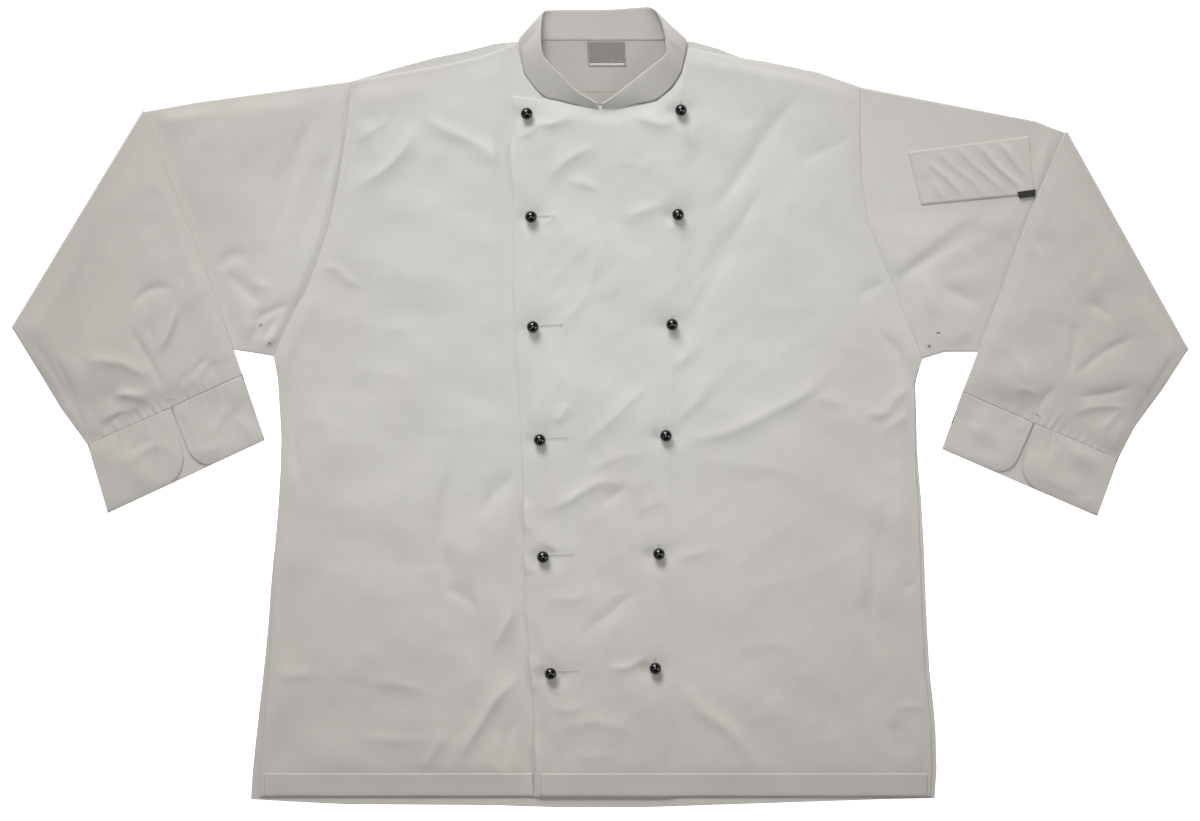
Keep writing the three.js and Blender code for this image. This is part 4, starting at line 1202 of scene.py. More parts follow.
@dataclass
class Body:
    """The back and both fronts, laid flat."""

    finishes: Finishes
    step: float = 2.65
    back_step: float = 7.0
    seam_overlap: float = 0.15
    seam_allowance: float = 6.5
    pieces: dict[str, bpy.types.Object] = field(default_factory=dict)
    surfaces: dict[str, Surface] = field(default_factory=dict)

    def build(self) -> None:
        """Make the three panels."""
        self.keep("back_cloth", laid_wall("back_cloth", self.back_grid()), "back")
        under = laid_wall("right_front_cloth", self.under_front_grid())
        self.keep("right_front_cloth", under, "front_right")
        top = laid_wall("left_front_cloth", self.top_front_grid())
        self.keep("left_front_cloth", top, "front_left")

    def keep(self, name: str, piece: bpy.types.Object, node: str) -> None:
        """Keep a panel, dress it and take its surface."""
        self.pieces[name] = own(piece, self.finishes.twill, [node])
        self.surfaces[name] = Surface(piece)

    def rows(self, side: Points, step: float) -> tuple[Array, Array]:
        """Rows of a panel: their share of the height, and their row numbers in the side's table."""
        heights = (np.asarray(side, float)[:, 1] - HEM) / (side[-1][1] - HEM)
        shares = spread(round((side[-1][1] - HEM) / step), side[-1][1] - HEM)
        return shares, np.interp(shares, heights, np.arange(len(side)))

    def columns(self, top: Points, step: float) -> Array:
        """Columns of a panel, as fractional numbers in its upper edge's table."""
        last = len(top) - 1
        width = top[-1][0] - top[0][0]
        keep = np.arange(last + 1) / last
        return spread(round(width / step), width, keep) * last

    def back_grid(self) -> Array:
        """The back, out to the strips that show past the fronts."""
        right, left = (*RIGHT_SIDE, *RIGHT_ARMHOLE), (*LEFT_SIDE, *LEFT_ARMHOLE)
        share, index = self.rows(right, self.back_step)
        column = self.columns(BACK_TOP, self.back_step)
        v, even = share[:, None], column[None, :] / (len(BACK_TOP) - 1)
        top = at_rows(BACK_TOP, column)[None]
        right_edge, left_edge = at_rows(right, index)[:, None], at_rows(left, index)[:, None]
        first, last = BACK_TOP[0], BACK_TOP[-1]
        above = (top[..., 0] - first[0]) / (last[0] - first[0])
        x_right = right_edge[..., 0] - read(SIDE_STRIP, right_edge[..., 1], 0, 1)
        x_left = left_edge[..., 0] + read(SIDE_STRIP, left_edge[..., 1], 0, 2)
        across = mix(even, above, v)
        x = mix(x_right, x_left, across)
        row = mix(right_edge[..., 1], left_edge[..., 1], across) - HEM
        rise = top[..., 1] - mix(first[1], last[1], above)
        y = HEM + row + rise * v**3 + (read(BACK_HEM, x, 0, 1) - HEM) * (1 - v) ** 6
        z = np.full_like(x, LEVEL_BACK + CLOTH)
        return np.stack([x, y, z], -1)

    def under_front_grid(self) -> Array:
        """The right front, flat where the left front covers it."""
        side = (*RIGHT_SIDE, *RIGHT_ARMHOLE)
        share, index = self.rows(side, self.step)
        column = self.columns(UNDER_FRONT_TOP, self.step)
        v, even = share[:, None], column[None, :] / (len(UNDER_FRONT_TOP) - 1)
        top = at_rows(UNDER_FRONT_TOP, column)[None]
        edge = at_rows(side, index)[:, None]
        first, last = UNDER_FRONT_TOP[0], UNDER_FRONT_TOP[-1]
        above = (top[..., 0] - first[0]) / (last[0] - first[0])
        y = mix(HEM, top[..., 1], v)
        x_left = read(UNDER_FRONT_EDGE, y)
        sewn = index[:, None] > len(RIGHT_SIDE) - 0.5
        inset = np.where(sewn, -self.seam_overlap, 0)
        across = mix(even, above, smooth(NECK_SPREAD, 1, v))
        x = mix(edge[..., 0] + inset, x_left, across)
        covered = read(TOP_FRONT_EDGE, y) - x
        aside, up, below = x - edge[..., 0], y - HEM, top[..., 1] - y
        fade = smooth(0, SIDE_FADE, aside) * smooth(*COVER_FADE, covered)
        fade = fade * smooth(0, HEM_FADE, up) * smooth(0, SEAM_FADE, below)
        near = smooth(0, 10, aside) * smooth(3, 16, covered) * smooth(0, 8, up) * smooth(0, 12, below)
        relief = Relief(Folds(UNDER_FRONT_FOLDS), (Undulation(11, 95, 0.5), Undulation(12, 30, 0.14)))
        small = Rumples(13, 230, (-330, -385), (-70, 350), 1.8).at(x, y)
        z = LEVEL_FRONT + CLOTH + fade * relief.at(x, y) + near * np.maximum(small, -0.15)
        z = z + self.allowance(sewn, aside) - dip(up) - dip(below) - np.where(sewn, 0, dip(aside))
        return np.stack([x, y, z], -1)

    @staticmethod
    def edge_bulge(past_edge: Array, y: Array) -> Array:
        """How far the top front's free edge stands up between its studs."""
        total = np.zeros(y.shape)
        for low, high, height in EDGE_BULGES:
            third = (high - low) / 3
            total = total + height * smooth(low, low + third, y) * smooth(-high, third - high, -y)
        return total * np.exp(-past_edge / 7)

    def allowance(self, sewn: Array, aside: Array) -> Array:
        """The seam allowance that lies under a front beside its armhole."""
        width = self.seam_allowance
        return np.where(sewn, 0.5 * (1 - smooth(width - 2.5, width + 1.5, aside)), 0)

    def top_front_grid(self) -> Array:
        """The left front, over the right one and down past that one's hidden edge."""
        side = (*LEFT_SIDE, *LEFT_ARMHOLE)
        share, index = self.rows(side, self.step)
        column = self.columns(TOP_FRONT_TOP, self.step)
        v, i = share[:, None], column[None, :]
        last = len(TOP_FRONT_TOP) - 1
        on_step = next(k for k, p in enumerate(TOP_FRONT_TOP) if p[0] > UNDER_FRONT_EDGE[-1][0])
        off_step = on_step + 2
        top = at_rows(TOP_FRONT_TOP, column)[None]
        edge = at_rows(side, index)[:, None]
        near_top = smooth(NECK_SPREAD, 1, v)
        y = mix(HEM, top[..., 1], v)
        sewn = index[:, None] > len(LEFT_SIDE) - 0.5
        inset = np.where(sewn, -self.seam_overlap, 0)
        x_right, x_left = read(TOP_FRONT_EDGE, y), edge[..., 0] - inset
        x_step = read(UNDER_FRONT_EDGE, y) + CLEAR_OF_EDGE
        x_clear = mix(x_step + OVERLAP_RISE, TOP_FRONT_TOP[off_step][0], near_top)

        def across(start: int, end: int, low: Array, high: Array) -> Array:
            """Places between two columns of the table."""
            a, b = TOP_FRONT_TOP[start][0], TOP_FRONT_TOP[end][0]
            even, above = (i - start) / (end - start), (top[..., 0] - a) / (b - a)
            return mix(low, high, mix(even, above, near_top))

        x = np.where(i <= on_step, across(0, on_step, x_right, x_step), 0.0)
        x = np.where((i > on_step) & (i <= off_step), across(on_step, off_step, x_step, x_clear), x)
        x = np.where(i > off_step, across(off_step, last, x_clear, x_left), x)
        level = mix(LEVEL_OVERLAP, LEVEL_FRONT, np.clip((i - on_step) / (off_step - on_step), 0, 1))
        past_edge, aside = x - x_right, edge[..., 0] - x
        up, below = y - HEM, top[..., 1] - y
        fade = smooth(0, EDGE_FADE, past_edge) * smooth(0, SIDE_FADE, aside)
        fade = fade * smooth(0, HEM_FADE, up) * smooth(0, EDGE_FADE, below) * self.held_down(x, y)
        near = smooth(0, 8, past_edge) * smooth(0, 10, aside) * smooth(0, 8, up) * smooth(0, 10, below)
        near = near * (0.3 + 0.7 * self.held_down(x, y))
        relief = Relief(Folds(TOP_FRONT_FOLDS), (Undulation(21, 95, 0.5), Undulation(22, 30, 0.14)))
        small = Rumples(23, 250, (-75, -385), (330, 350), 0.9).at(x, y)
        small = small + Rumples(24, 90, (-75, -330), (75, 290), 0.9, 0.9, 0.34).at(x, y)
        small = small + Folds(HIDDEN_EDGE_FOLDS, 0.05).height(x, y)
        z = level + CLOTH + fade * relief.at(x, y) + near * np.maximum(small, -0.2)
        z = z + self.allowance(sewn, aside) - np.where(sewn, 0, dip(aside))
        z = z - dip(past_edge) - dip(up) - dip(below) + self.edge_bulge(past_edge, y)
        return np.stack([x, y, z], -1)

    @staticmethod
    def held_down(x: Array, y: Array) -> Array:
        """0 where a stud holds the fronts together, and 1 away from it."""
        free = np.ones(np.broadcast(x, y).shape)
        for stud_x, stud_y in STUD_PLACES:
            reach = ((x - stud_x) / 17) ** 2 + ((y - stud_y) / 13) ** 2
            free = free * (1 - 0.94 * np.exp(-reach))
        return free


@dataclass(frozen=True)
class SleeveLie:
    """Where a folded sleeve lies: its edges before and after the fold, and its cuff."""

    armhole: Points
    underarm: Points
    top: Points
    outer: Points
    inner: Points
    cuff_outer: tuple[float, float]
    cuff_inner: tuple[float, float]
    fall: tuple[float, float] = (24.0, 70.0)

    @property
    def to_body(self) -> float:
        """The sign of x towards the body."""
        return -math.copysign(1.0, self.outer[0][0])

    @property
    def out(self) -> Array:
        """The direction across the fold, away from the sleeve."""
        low, high = np.asarray(self.outer[0], float), np.asarray(self.inner[0], float)
        run = (high - low) / np.linalg.norm(high - low)
        across = np.array([-run[1], run[0]])
        return -across if across[0] * low[0] < 0 else across

    def armhole_at(self, w: Array) -> Array:
        """Places on the armhole seam, from the underarm up."""
        place = on_path(self.armhole, w)
        place[..., 0] += self.to_body * 0.15
        return place

    def fold_at(self, w: Array) -> Array:
        """Places on the line that the sleeve turns over."""
        low, high = np.asarray(self.outer[0], float), np.asarray(self.inner[0], float)
        return mix(low, high, np.asarray(w)[..., None]) - self.out * FOLD_AXIS

    def upper(self, s: Array, w: Array) -> Array:
        """Places on the upper arm, s from the armhole to the fold and w from the underarm up."""
        a0, a1 = self.armhole_at(np.array(0.0)), self.armhole_at(np.array(1.0))
        f0, f1 = self.fold_at(np.array(0.0)), self.fold_at(np.array(1.0))
        low = on_path([a0, self.underarm[1], f0], s)
        high = on_path([a1, self.top[1], f1], s)
        s, t = s[..., None], w[..., None]
        place = mix(self.armhole_at(w), self.fold_at(w), s)
        return place + (1 - t) * (low - mix(a0, f0, s)) + t * (high - mix(a1, f1, s))

    def forearm(self, s: Array, w: Array) -> Array:
        """Places on the forearm, s from the fold to the cuff seam."""
        low = on_path([self.fold_at(np.array(0.0)), *self.outer[1:]], s)
        high = on_path([self.fold_at(np.array(1.0)), *self.inner[1:]], s)
        return mix(low, high, w[..., None])

    def cuff(self, s: Array, w: Array) -> Array:
        """Places on the cuff, s from its seam to its end."""
        t = w[..., None]
        start = mix(np.asarray(self.outer[-1], float), np.asarray(self.inner[-1], float), t)
        end = mix(np.asarray(self.cuff_outer, float), np.asarray(self.cuff_inner, float), t)
        return mix(start, end, s[..., None])

    def clear_of_forearm(self, place: Array) -> Array:
        """How far places are from the forearm's inner edge, towards the body."""
        a, b = np.asarray(self.inner[0], float), np.asarray(self.inner[-1], float)
        run = (b - a) / np.linalg.norm(b - a)
        return -self.to_body * ((place[..., 0] - a[0]) * run[1] - (place[..., 1] - a[1]) * run[0])

    def drop(self, place: Array) -> Array:
        """How far the forearm has come down to the surface, past the underarm."""
        past = read(self.underarm, place[..., 0], 0, 1) - place[..., 1]
        return smooth(*self.fall, past) * FOREARM_RISE


@dataclass(frozen=True)
class Ring:
    """The places round a flat tube: their share across it and their angle round its edges."""

    across: Array
    angle: Array
    to_slit: Array

    def heights(self, outer: bool) -> Array:
        """The heights of the tube's wall, on its outer or inner face."""
        half = STACK / 2 if outer else (LEVEL_FRONT - CLOTH) / 2
        return STACK / 2 + half * np.sin(self.angle)

    def moved(self, outer: bool) -> Array:
        """How far each place lies in from the tube's edge."""
        half = STACK / 2 if outer else (LEVEL_FRONT - CLOTH) / 2
        inset = (0 if outer else CLOTH) + half * (1 - np.cos(self.angle))
        at_edge = (self.across < 1e-9) | (self.across > 1 - 1e-9)
        return np.where(at_edge, np.where(self.across < 0.5, inset, -inset), 0.0)

    def on(self, layer: Layer) -> Array:
        """1 on one layer of the tube, and 0 elsewhere."""
        return ((self.angle > 1.5) if layer is Layer.FRONT else (self.angle < -1.5)).astype(float)


RIGHT_LIE = SleeveLie(
    armhole=RIGHT_ARMHOLE,
    underarm=((-326, 51), (-365, 57), (-589, 79)),
    top=((-248, 326), (-405, 304.5), (-457, 297)),
    outer=((-589, 79), (-563, 39), (-539, -1), (-512, -38)),
    inner=((-457, 297), (-432, 234), (-391, 129), (-357, 32)),
    cuff_outer=(-492, -106),
    cuff_inner=(-335, -33),
)
LEFT_LIE = SleeveLie(
    armhole=LEFT_ARMHOLE,
    underarm=((322, 48), (345, 55), (589, 57)),
    top=((260, 320), (435, 286), (467, 276)),
    outer=((589, 57), (563, 19), (534, -21), (518, -52)),
    inner=((467, 276), (427, 188), (399, 111), (362, 15)),
    cuff_outer=(497, -109),
    cuff_inner=(342, -42),
)
POCKET_CORNERS: Points = ((321, 202), (434, 213), (429, 271), (308, 255))


@dataclass
class Sleeve:
    """One sleeve and its cuff."""

    side: Side
    lie: SleeveLie
    folds: Folds
    finishes: Finishes
    seed: int
    pleats: tuple[tuple[float, float, float, float], ...]
    tuck: Folds = Folds(NO_FOLDS)
    upper_steps: int = 84
    fold_steps: int = 12
    forearm_steps: int = 96
    across_steps: int = 80
    edge_share: float = 0.075
    slit: float = 0.54
    slit_half: float = 0.0024
    corner: float = 25.0
    sleeve: bpy.types.Object | None = None
    band: bpy.types.Object | None = None
    sleeve_surface: Surface | None = None
    cuff_surface: Surface | None = None

    def build(self) -> None:
        """Make the sleeve and the cuff."""
        name = self.side.value
        outer, weave = self.sleeve_grid(True)
        inner, _ = self.sleeve_grid(False)
        sleeve = closed_wall(name + "_sleeve_cloth", outer, inner, weave, tube=True)
        self.sleeve = own(sleeve, self.finishes.twill, ["sleeve_" + name])
        outer, weave = self.cuff_grid(True)
        inner, _ = self.cuff_grid(False)
        cuff = closed_wall(name + "_cuff_cloth", outer, inner, weave)
        self.band = own(cuff, self.finishes.twill, ["cuff_" + name])
        self.sleeve_surface, self.cuff_surface = Surface(sleeve), Surface(cuff)

    def ring(self) -> Ring:
        """The places round the sleeve."""
        shares = spread(self.across_steps, 230, near=(2.8, 4.4))
        up, arc = math.pi / 2, math.pi / 4
        across = np.concatenate([[0, 0], shares, [1, 1, 1], shares[::-1], [0]])
        angle = np.concatenate(
            [[0, arc], np.full(len(shares), up), [arc, 0, -arc], np.full(len(shares), -up), [-arc]]
        )
        return Ring(across, angle, np.zeros(len(across)))

    def cuff_ring(self) -> Ring:
        """The places round the cuff, from one side of its slit to the other."""
        up, arc = math.pi / 2, math.pi / 4
        flap = spread(34, 85, near=(0.12, 0.5, 1.1, 2.0, 3.4, 5.2))
        near, far = mix(self.slit - self.slit_half, 0, flap), mix(1, self.slit + self.slit_half, flap)
        under = spread(40, 165, near=(2.8, 4.4))
        across = np.concatenate([near, [0, 0, 0], under, [1, 1, 1], far])
        angle = np.concatenate(
            [
                np.full(len(near), -up),
                [-arc, 0, arc],
                np.full(len(under), up),
                [arc, 0, -arc],
                np.full(len(far), -up),
            ]
        )
        to_slit = np.concatenate([1 - flap, np.zeros(len(under) + 6), flap])
        return Ring(across, angle, to_slit)

    def place(self, where: Callable, s: Array, ring: Ring, moved: Array, drawn: Array | float = 0.0) -> Array:
        """Places of a ring on one stretch of the sleeve.

        Args:
            where: The stretch, as a method of the lie.
            s: The share along it, for each place.
            ring: The places round it.
            moved: How far each lies in from the edge.
            drawn: A share that is added across.

        Returns:
            The places' x and y.
        """
        w = np.broadcast_to(ring.across, s.shape) + drawn
        before, after = where(s, np.clip(w - 0.01, 0, 1)), where(s, np.clip(w + 0.01, 0, 1))
        step = after - before
        step = step / np.linalg.norm(step, axis=-1, keepdims=True)
        return where(s, w) + step * np.broadcast_to(moved, s.shape)[..., None]

    def pleat_height(self, w: Array, from_seam: Array) -> Array:
        """The gathers at the cuff seam, for places by their distance in millimetres from it."""
        total = np.zeros(np.broadcast(w, from_seam).shape)
        for centre, width, height, length in self.pleats:
            aside = (w - centre) * 165 + from_seam * 0.12
            total += height * np.exp(-((aside / width) ** 2) - (from_seam / length) ** 2)
        return total

    def below_pocket(self, place: Array) -> Array:
        """0 under the sleeve pocket and just round it, where the sleeve stays flat."""
        if self.side is Side.RIGHT:
            return np.ones(place.shape[:-1])
        low = read(POCKET_CORNERS[:2], place[..., 0], 0, 1)
        return smooth(6, 34, low - place[..., 1])

    def sleeve_grid(self, is_outer: bool) -> tuple[Array, Array]:
        """One face of the sleeve's wall.

        Args:
            is_outer: Whether it is the tube's outer face.

        Returns:
            The points, and their places on the flat cloth.
        """
        ring = self.ring()
        height, moved = ring.heights(is_outer), ring.moved(is_outer)
        w = ring.across
        across = smooth(0, self.edge_share, w) * smooth(0, self.edge_share, 1 - w)
        out = self.lie.to_body * -400.0
        box = (out - 220, -60), (out + 160, 330)
        waves = (
            Undulation(self.seed, 80, 0.45),
            Undulation(self.seed + 1, 30, 0.12),
            Rumples(self.seed + 2, 260, *box, math.pi / 2 + self.lie.to_body * 0.5),
        )
        relief = Relief(self.folds, waves, 2.2)
        columns = np.ones(len(w))

        s = spread(self.upper_steps, 260, near=(1.2, 2.4))[:, None] * columns
        place = self.place(self.lie.upper, s, ring, moved)
        fade = across * smooth(0, 0.035, s) * self.below_pocket(place)
        fade = fade * smooth(4, 26, self.lie.clear_of_forearm(place)) * ring.on(Layer.FRONT)
        z = height + fade * relief.at(place[..., 0], place[..., 1])
        z = z + ring.on(Layer.FRONT) * (self.tuck.height(place[..., 0], place[..., 1]) - 0.7 * dip(s * 230))
        parts = [np.concatenate([place, z[..., None]], -1)]
        runs = [s[:, 0] * 260]

        turn = (np.linspace(0, 1, self.fold_steps + 1)[1:-1] * math.pi)[:, None] * columns
        place = self.place(self.lie.forearm, np.zeros_like(turn), ring, moved)
        radius = FOLD_AXIS - height
        place = place + self.lie.out * (radius * np.sin(turn))[..., None]
        z = FOLD_AXIS - radius * np.cos(turn)
        parts.append(np.concatenate([place, z[..., None]], -1))
        runs.append(260 + turn[:, 0] * 2)

        s = spread(self.forearm_steps, 270, near=(1.2, 2.4))[:, None] * columns
        place = self.place(self.lie.forearm, s, ring, moved)
        fade = across * smooth(0.02, 0.16, s) * smooth(0, 0.12, 1 - s)
        lift = fade * relief.at(place[..., 0], place[..., 1])
        lift = lift + across * self.pleat_height(np.broadcast_to(w, s.shape), (1 - s) * 270)
        top = ring.on(Layer.BACK)
        z = 2 * FOLD_AXIS - height - self.lie.drop(place) + lift * top - 0.4 * top * dip((1 - s) * 270)
        parts.append(np.concatenate([place, z[..., None]], -1))
        runs.append(268 + s[:, 0] * 270)

        grid = np.concatenate(parts)
        return grid, self.flat_weave(grid, np.concatenate(runs))

    @staticmethod
    def flat_weave(grid: Array, runs: Array) -> Array:
        """Places on the flat cloth: the way round the tube, and the way along it."""
        closed = np.concatenate([grid, grid[:, :1]], 1)
        steps = np.linalg.norm(np.diff(closed, axis=1), axis=-1).mean(axis=0)
        round_it = np.concatenate([[0.0], np.cumsum(steps)])
        return np.stack(np.broadcast_arrays(round_it[None, :], runs[:, None]), -1)

    def cuff_grid(self, is_outer: bool) -> tuple[Array, Array]:
        """One face of the cuff's wall.

        Args:
            is_outer: Whether it is the cuff's outer face.

        Returns:
            The points, and their places on the flat cloth.
        """
        ring = self.cuff_ring()
        height, moved = ring.heights(is_outer), ring.moved(is_outer)
        t = spread(22, 70, near=(1.0, 2.2))[:, None] * np.ones(len(ring.across))
        inside = np.clip(1 - (1 - ring.to_slit) * 85 / self.corner, 0, 1)
        rounding = (1 - np.sqrt(1 - inside**2)) * self.corner / 70
        s = mix(-0.001, 1 - rounding, t)
        from_slit = np.where(ring.across > self.slit, 1.0, -1.0)
        opened = 0.016 * ring.to_slit**3 * t
        drawn = from_slit * opened * ring.on(Layer.BACK)
        place = self.place(self.lie.cuff, s, ring, moved, drawn)
        top = ring.on(Layer.BACK)
        w = np.broadcast_to(ring.across, t.shape)
        edge = smooth(0, 0.1, w) * smooth(0, 0.1, 1 - w) * smooth(0, 0.12, 1 - ring.to_slit)
        lift = 0.8 * edge * self.pleat_height(w, t * 70)
        wave = Undulation(self.seed + 5, 38, 0.5).at(place[..., 0], place[..., 1])
        out = self.lie.to_body * -400.0
        creases = Rumples(self.seed + 6, 90, (out - 110, -115), (out + 75, 0), math.pi / 2, 0.9, 0.8)
        wave = wave + creases.at(place[..., 0], place[..., 1])
        lift = lift + edge * smooth(0, 0.2, t) * smooth(0, 0.25, 1 - t) * np.maximum(wave + 0.8, 0)
        z = 2 * FOLD_AXIS - height - self.lie.drop(place) + lift * top
        z = z - top * (0.4 * dip(t * 70) + 1.6 * dip((1 - t) * 70))
        grid = np.concatenate([place, z[..., None]], -1)
        return grid, self.flat_weave(grid, t[:, 0] * 70)[:, :-1]

    def cuff_line(self, flap: Side, distance: float) -> list[tuple[float, float]]:
        """A line inside the free edge of one flap.

        Args:
            flap: Which flap: the one that ends at the tube's outer edge is RIGHT.
            distance: How far inside its edge the line runs.

        Returns:
            The line from the flap's far end, round its corner, to the cuff seam.
        """
        ring = self.cuff_ring()
        grid, _ = self.cuff_grid(True)
        count = int(np.argmax(ring.angle > -1.5))
        columns = range(count - 1, -1, -1) if flap is Side.RIGHT else range(len(ring.across) - count, len(ring.across))
        order = list(columns)
        end = [tuple(grid[-1, k, :2]) for k in order]
        slit_edge = [tuple(grid[i, order[-1], :2]) for i in range(len(grid) - 2, -1, -1)]
        line = beside(end + slit_edge, distance if self.turns_left(end + slit_edge) else -distance, 2.0)
        return [tuple(p) for p in line[3:-3]]

    @staticmethod
    def turns_left(line: Sequence[Sequence[float]]) -> bool:
        """Whether a line bends to its left."""
        rows = np.asarray(line, float)[:, :2]
        a, b = rows[len(rows) // 3] - rows[0], rows[-1] - rows[len(rows) // 3]
        return bool(a[0] * b[1] - a[1] * b[0] > 0)


# Each gather: its share across, its width, height and length
RIGHT_PLEATS = (
    (0.13, 3.0, 0.7, 18), (0.21, 2.0, 0.9, 24), (0.285, 1.8, 1.1, 9), (0.32, 1.6, 1.0, 14), (0.37, 1.7, 1.3, 22),
    (0.41, 1.4, 1.2, 10), (0.455, 1.6, 1.5, 20), (0.5, 1.5, 1.3, 12), (0.585, 1.6, 0.9, 12), (0.625, 1.4, 1.0, 9),
    (0.665, 1.5, 1.1, 16), (0.7, 1.3, 0.9, 8), (0.735, 1.4, 1.2, 18), (0.78, 1.3, 1.0, 9), (0.84, 2.0, 0.7, 14),
)
LEFT_PLEATS = (
    (0.1, 1.8, 0.7, 10), (0.14, 1.5, 0.9, 16), (0.19, 1.4, 0.8, 9), (0.24, 1.6, 1.0, 14), (0.29, 1.4, 0.9, 10),
    (0.34, 1.6, 0.9, 16), (0.4, 1.5, 1.2, 12), (0.445, 1.8, 1.7, 24), (0.49, 1.5, 1.5, 16), (0.59, 1.6, 0.8, 12),
    (0.68, 2.2, 0.6, 10), (0.8, 2.6, 0.6, 14),
)


@dataclass
class Collar:
    """The stand-up collar, stiff and a little bulged."""

    finishes: Finishes
    wall: float = 1.9
    height_steps: int = 16
    between: int = 7
    bulge: float = 0.6
    piece: bpy.types.Object | None = None
    middle: Array | None = None
    outward: Array | None = None

    def build(self) -> None:
        """Make the collar."""
        rows = rounded(np.asarray(COLLAR_SECTIONS, float), self.between)
        t = np.concatenate([[0], np.linspace(0.03, 0.97, self.height_steps), [1]])[None, :, None]
        seam, edge = rows[:, None, :3], rows[:, None, 3:]
        middle = mix(seam, edge, t)
        round_it = np.gradient(middle, axis=0)
        up = np.broadcast_to(edge - seam, middle.shape)
        out = np.cross(round_it, up)
        out /= np.linalg.norm(out, axis=-1, keepdims=True)
        bulge = self.bulge * smooth(4, 13, rows[:, None, 5:6]) * 4 * t * (1 - t)
        share = np.linspace(0, 1, len(rows))[:, None, None]
        folds = self.folds(share, t)
        middle = middle - out * (bulge - folds)
        half = self.wall / 2 * np.ones_like(t)
        half[:, 0], half[:, -1] = half[:, 0] * 0.55, half[:, -1] * 0.55
        self.middle, self.outward = middle, out
        lengths = np.linalg.norm(np.diff(middle[:, 0], axis=0), axis=-1)
        run = np.concatenate([[0.0], np.cumsum(lengths)])
        weave = np.stack(np.broadcast_arrays(run[:, None], (t * 34)[..., 0]), -1)
        piece = closed_wall("collar_cloth", middle + out * half, middle - out * half, weave)
        # The collar wears the darker twill, which is painted shade.
        self.piece = own(piece, self.finishes.collar, ["collar"])

    @staticmethod
    def folds(share: Array, t: Array) -> Array:
        """Soft dents where the collar turns from the wings to the back of the neck."""
        dents = ((0.245, 0.014, 1.0), (0.29, 0.012, -1.0), (0.205, 0.016, -0.8), (0.66, 0.014, 1.0), (0.62, 0.012, -1.0),
                 (0.71, 0.016, -0.9), (0.12, 0.03, 0.4), (0.85, 0.03, 0.4), (0.17, 0.01, 0.5), (0.77, 0.01, 0.5))
        total = 0.0
        for centre, width, height in dents:
            total = total + height * np.exp(-(((share - centre) / width) ** 2))
        return total * np.sin(np.pi * np.clip(t, 0, 1)) ** 0.7

    def line(self, t: float, start: float = 0.0, end: float = 1.0, inside: bool = False) -> Line:
        """A line round the collar at a share of its height, on its outer or inner face."""
        rows, columns = self.middle.shape[:2]
        column = min(columns - 1, max(0, round(t * (columns - 1))))
        sign = -1 if inside else 1
        points = self.middle[:, column] + sign * self.outward[:, column] * (self.wall / 2 + 0.08)
        return [tuple(p) for p in points[round(start * (rows - 1)) : round(end * (rows - 1)) + 1]]


@dataclass
class PenPocket:
    """The pen pocket on the left sleeve, puckered where its stitching pulls it in."""

    finishes: Finishes
    corners: Points = POCKET_CORNERS
    wall: float = 1.0
    hem: float = 0.12
    puckers: int = 6
    slant: float = 0.36
    pucker_height: float = 1.8
    piece: bpy.types.Object | None = None
    surface: Surface | None = None

    def at(self, u: Array, v: Array) -> Array:
        """Places on the pocket, u from its mouth and v from its lower edge."""
        a, b, c, d = (np.asarray(p, float) for p in self.corners)
        u, v = np.asarray(u, float)[..., None], np.asarray(v, float)[..., None]
        return mix(mix(a, b, u), mix(d, c, u), v)

    def build(self) -> None:
        """Make the pocket."""
        u, v = np.meshgrid(spread(78, 115), spread(38, 55))
        place = self.at(u, v)
        past = smooth(self.hem, self.hem + 0.07, u) * smooth(0, 0.2, 1 - u)
        phase = self.puckers * (u + v * self.slant) + 0.08 * np.sin(9 * v + 4 * u)
        wave = (0.5 - 0.5 * np.cos(2 * math.pi * phase)) ** 2.2
        ends = smooth(0, 0.3, v) * smooth(0, 0.22, 1 - v)
        strength = 0.75 + 0.35 * np.sin(7.1 * u + 3.2 * v)
        z = STACK + SEAM_GAP + self.wall + self.pucker_height * past * ends * wave * strength
        edges = np.minimum(np.minimum(u, 1 - u) * 115, np.minimum(v, 1 - v) * 55)
        z = z - 1.3 * dip(edges)
        piece = laid_wall("pen_pocket_cloth", np.concatenate([place, z[..., None]], -1), self.wall, STACK + 0.05)
        self.piece = own(piece, self.finishes.twill, ["sleeve_pocket"])
        self.surface = Surface(piece)

    def line(self, *shares: tuple[float, float]) -> list[tuple[float, float]]:
        """A line through places given by their shares."""
        return [tuple(self.at(u, v)) for u, v in shares]


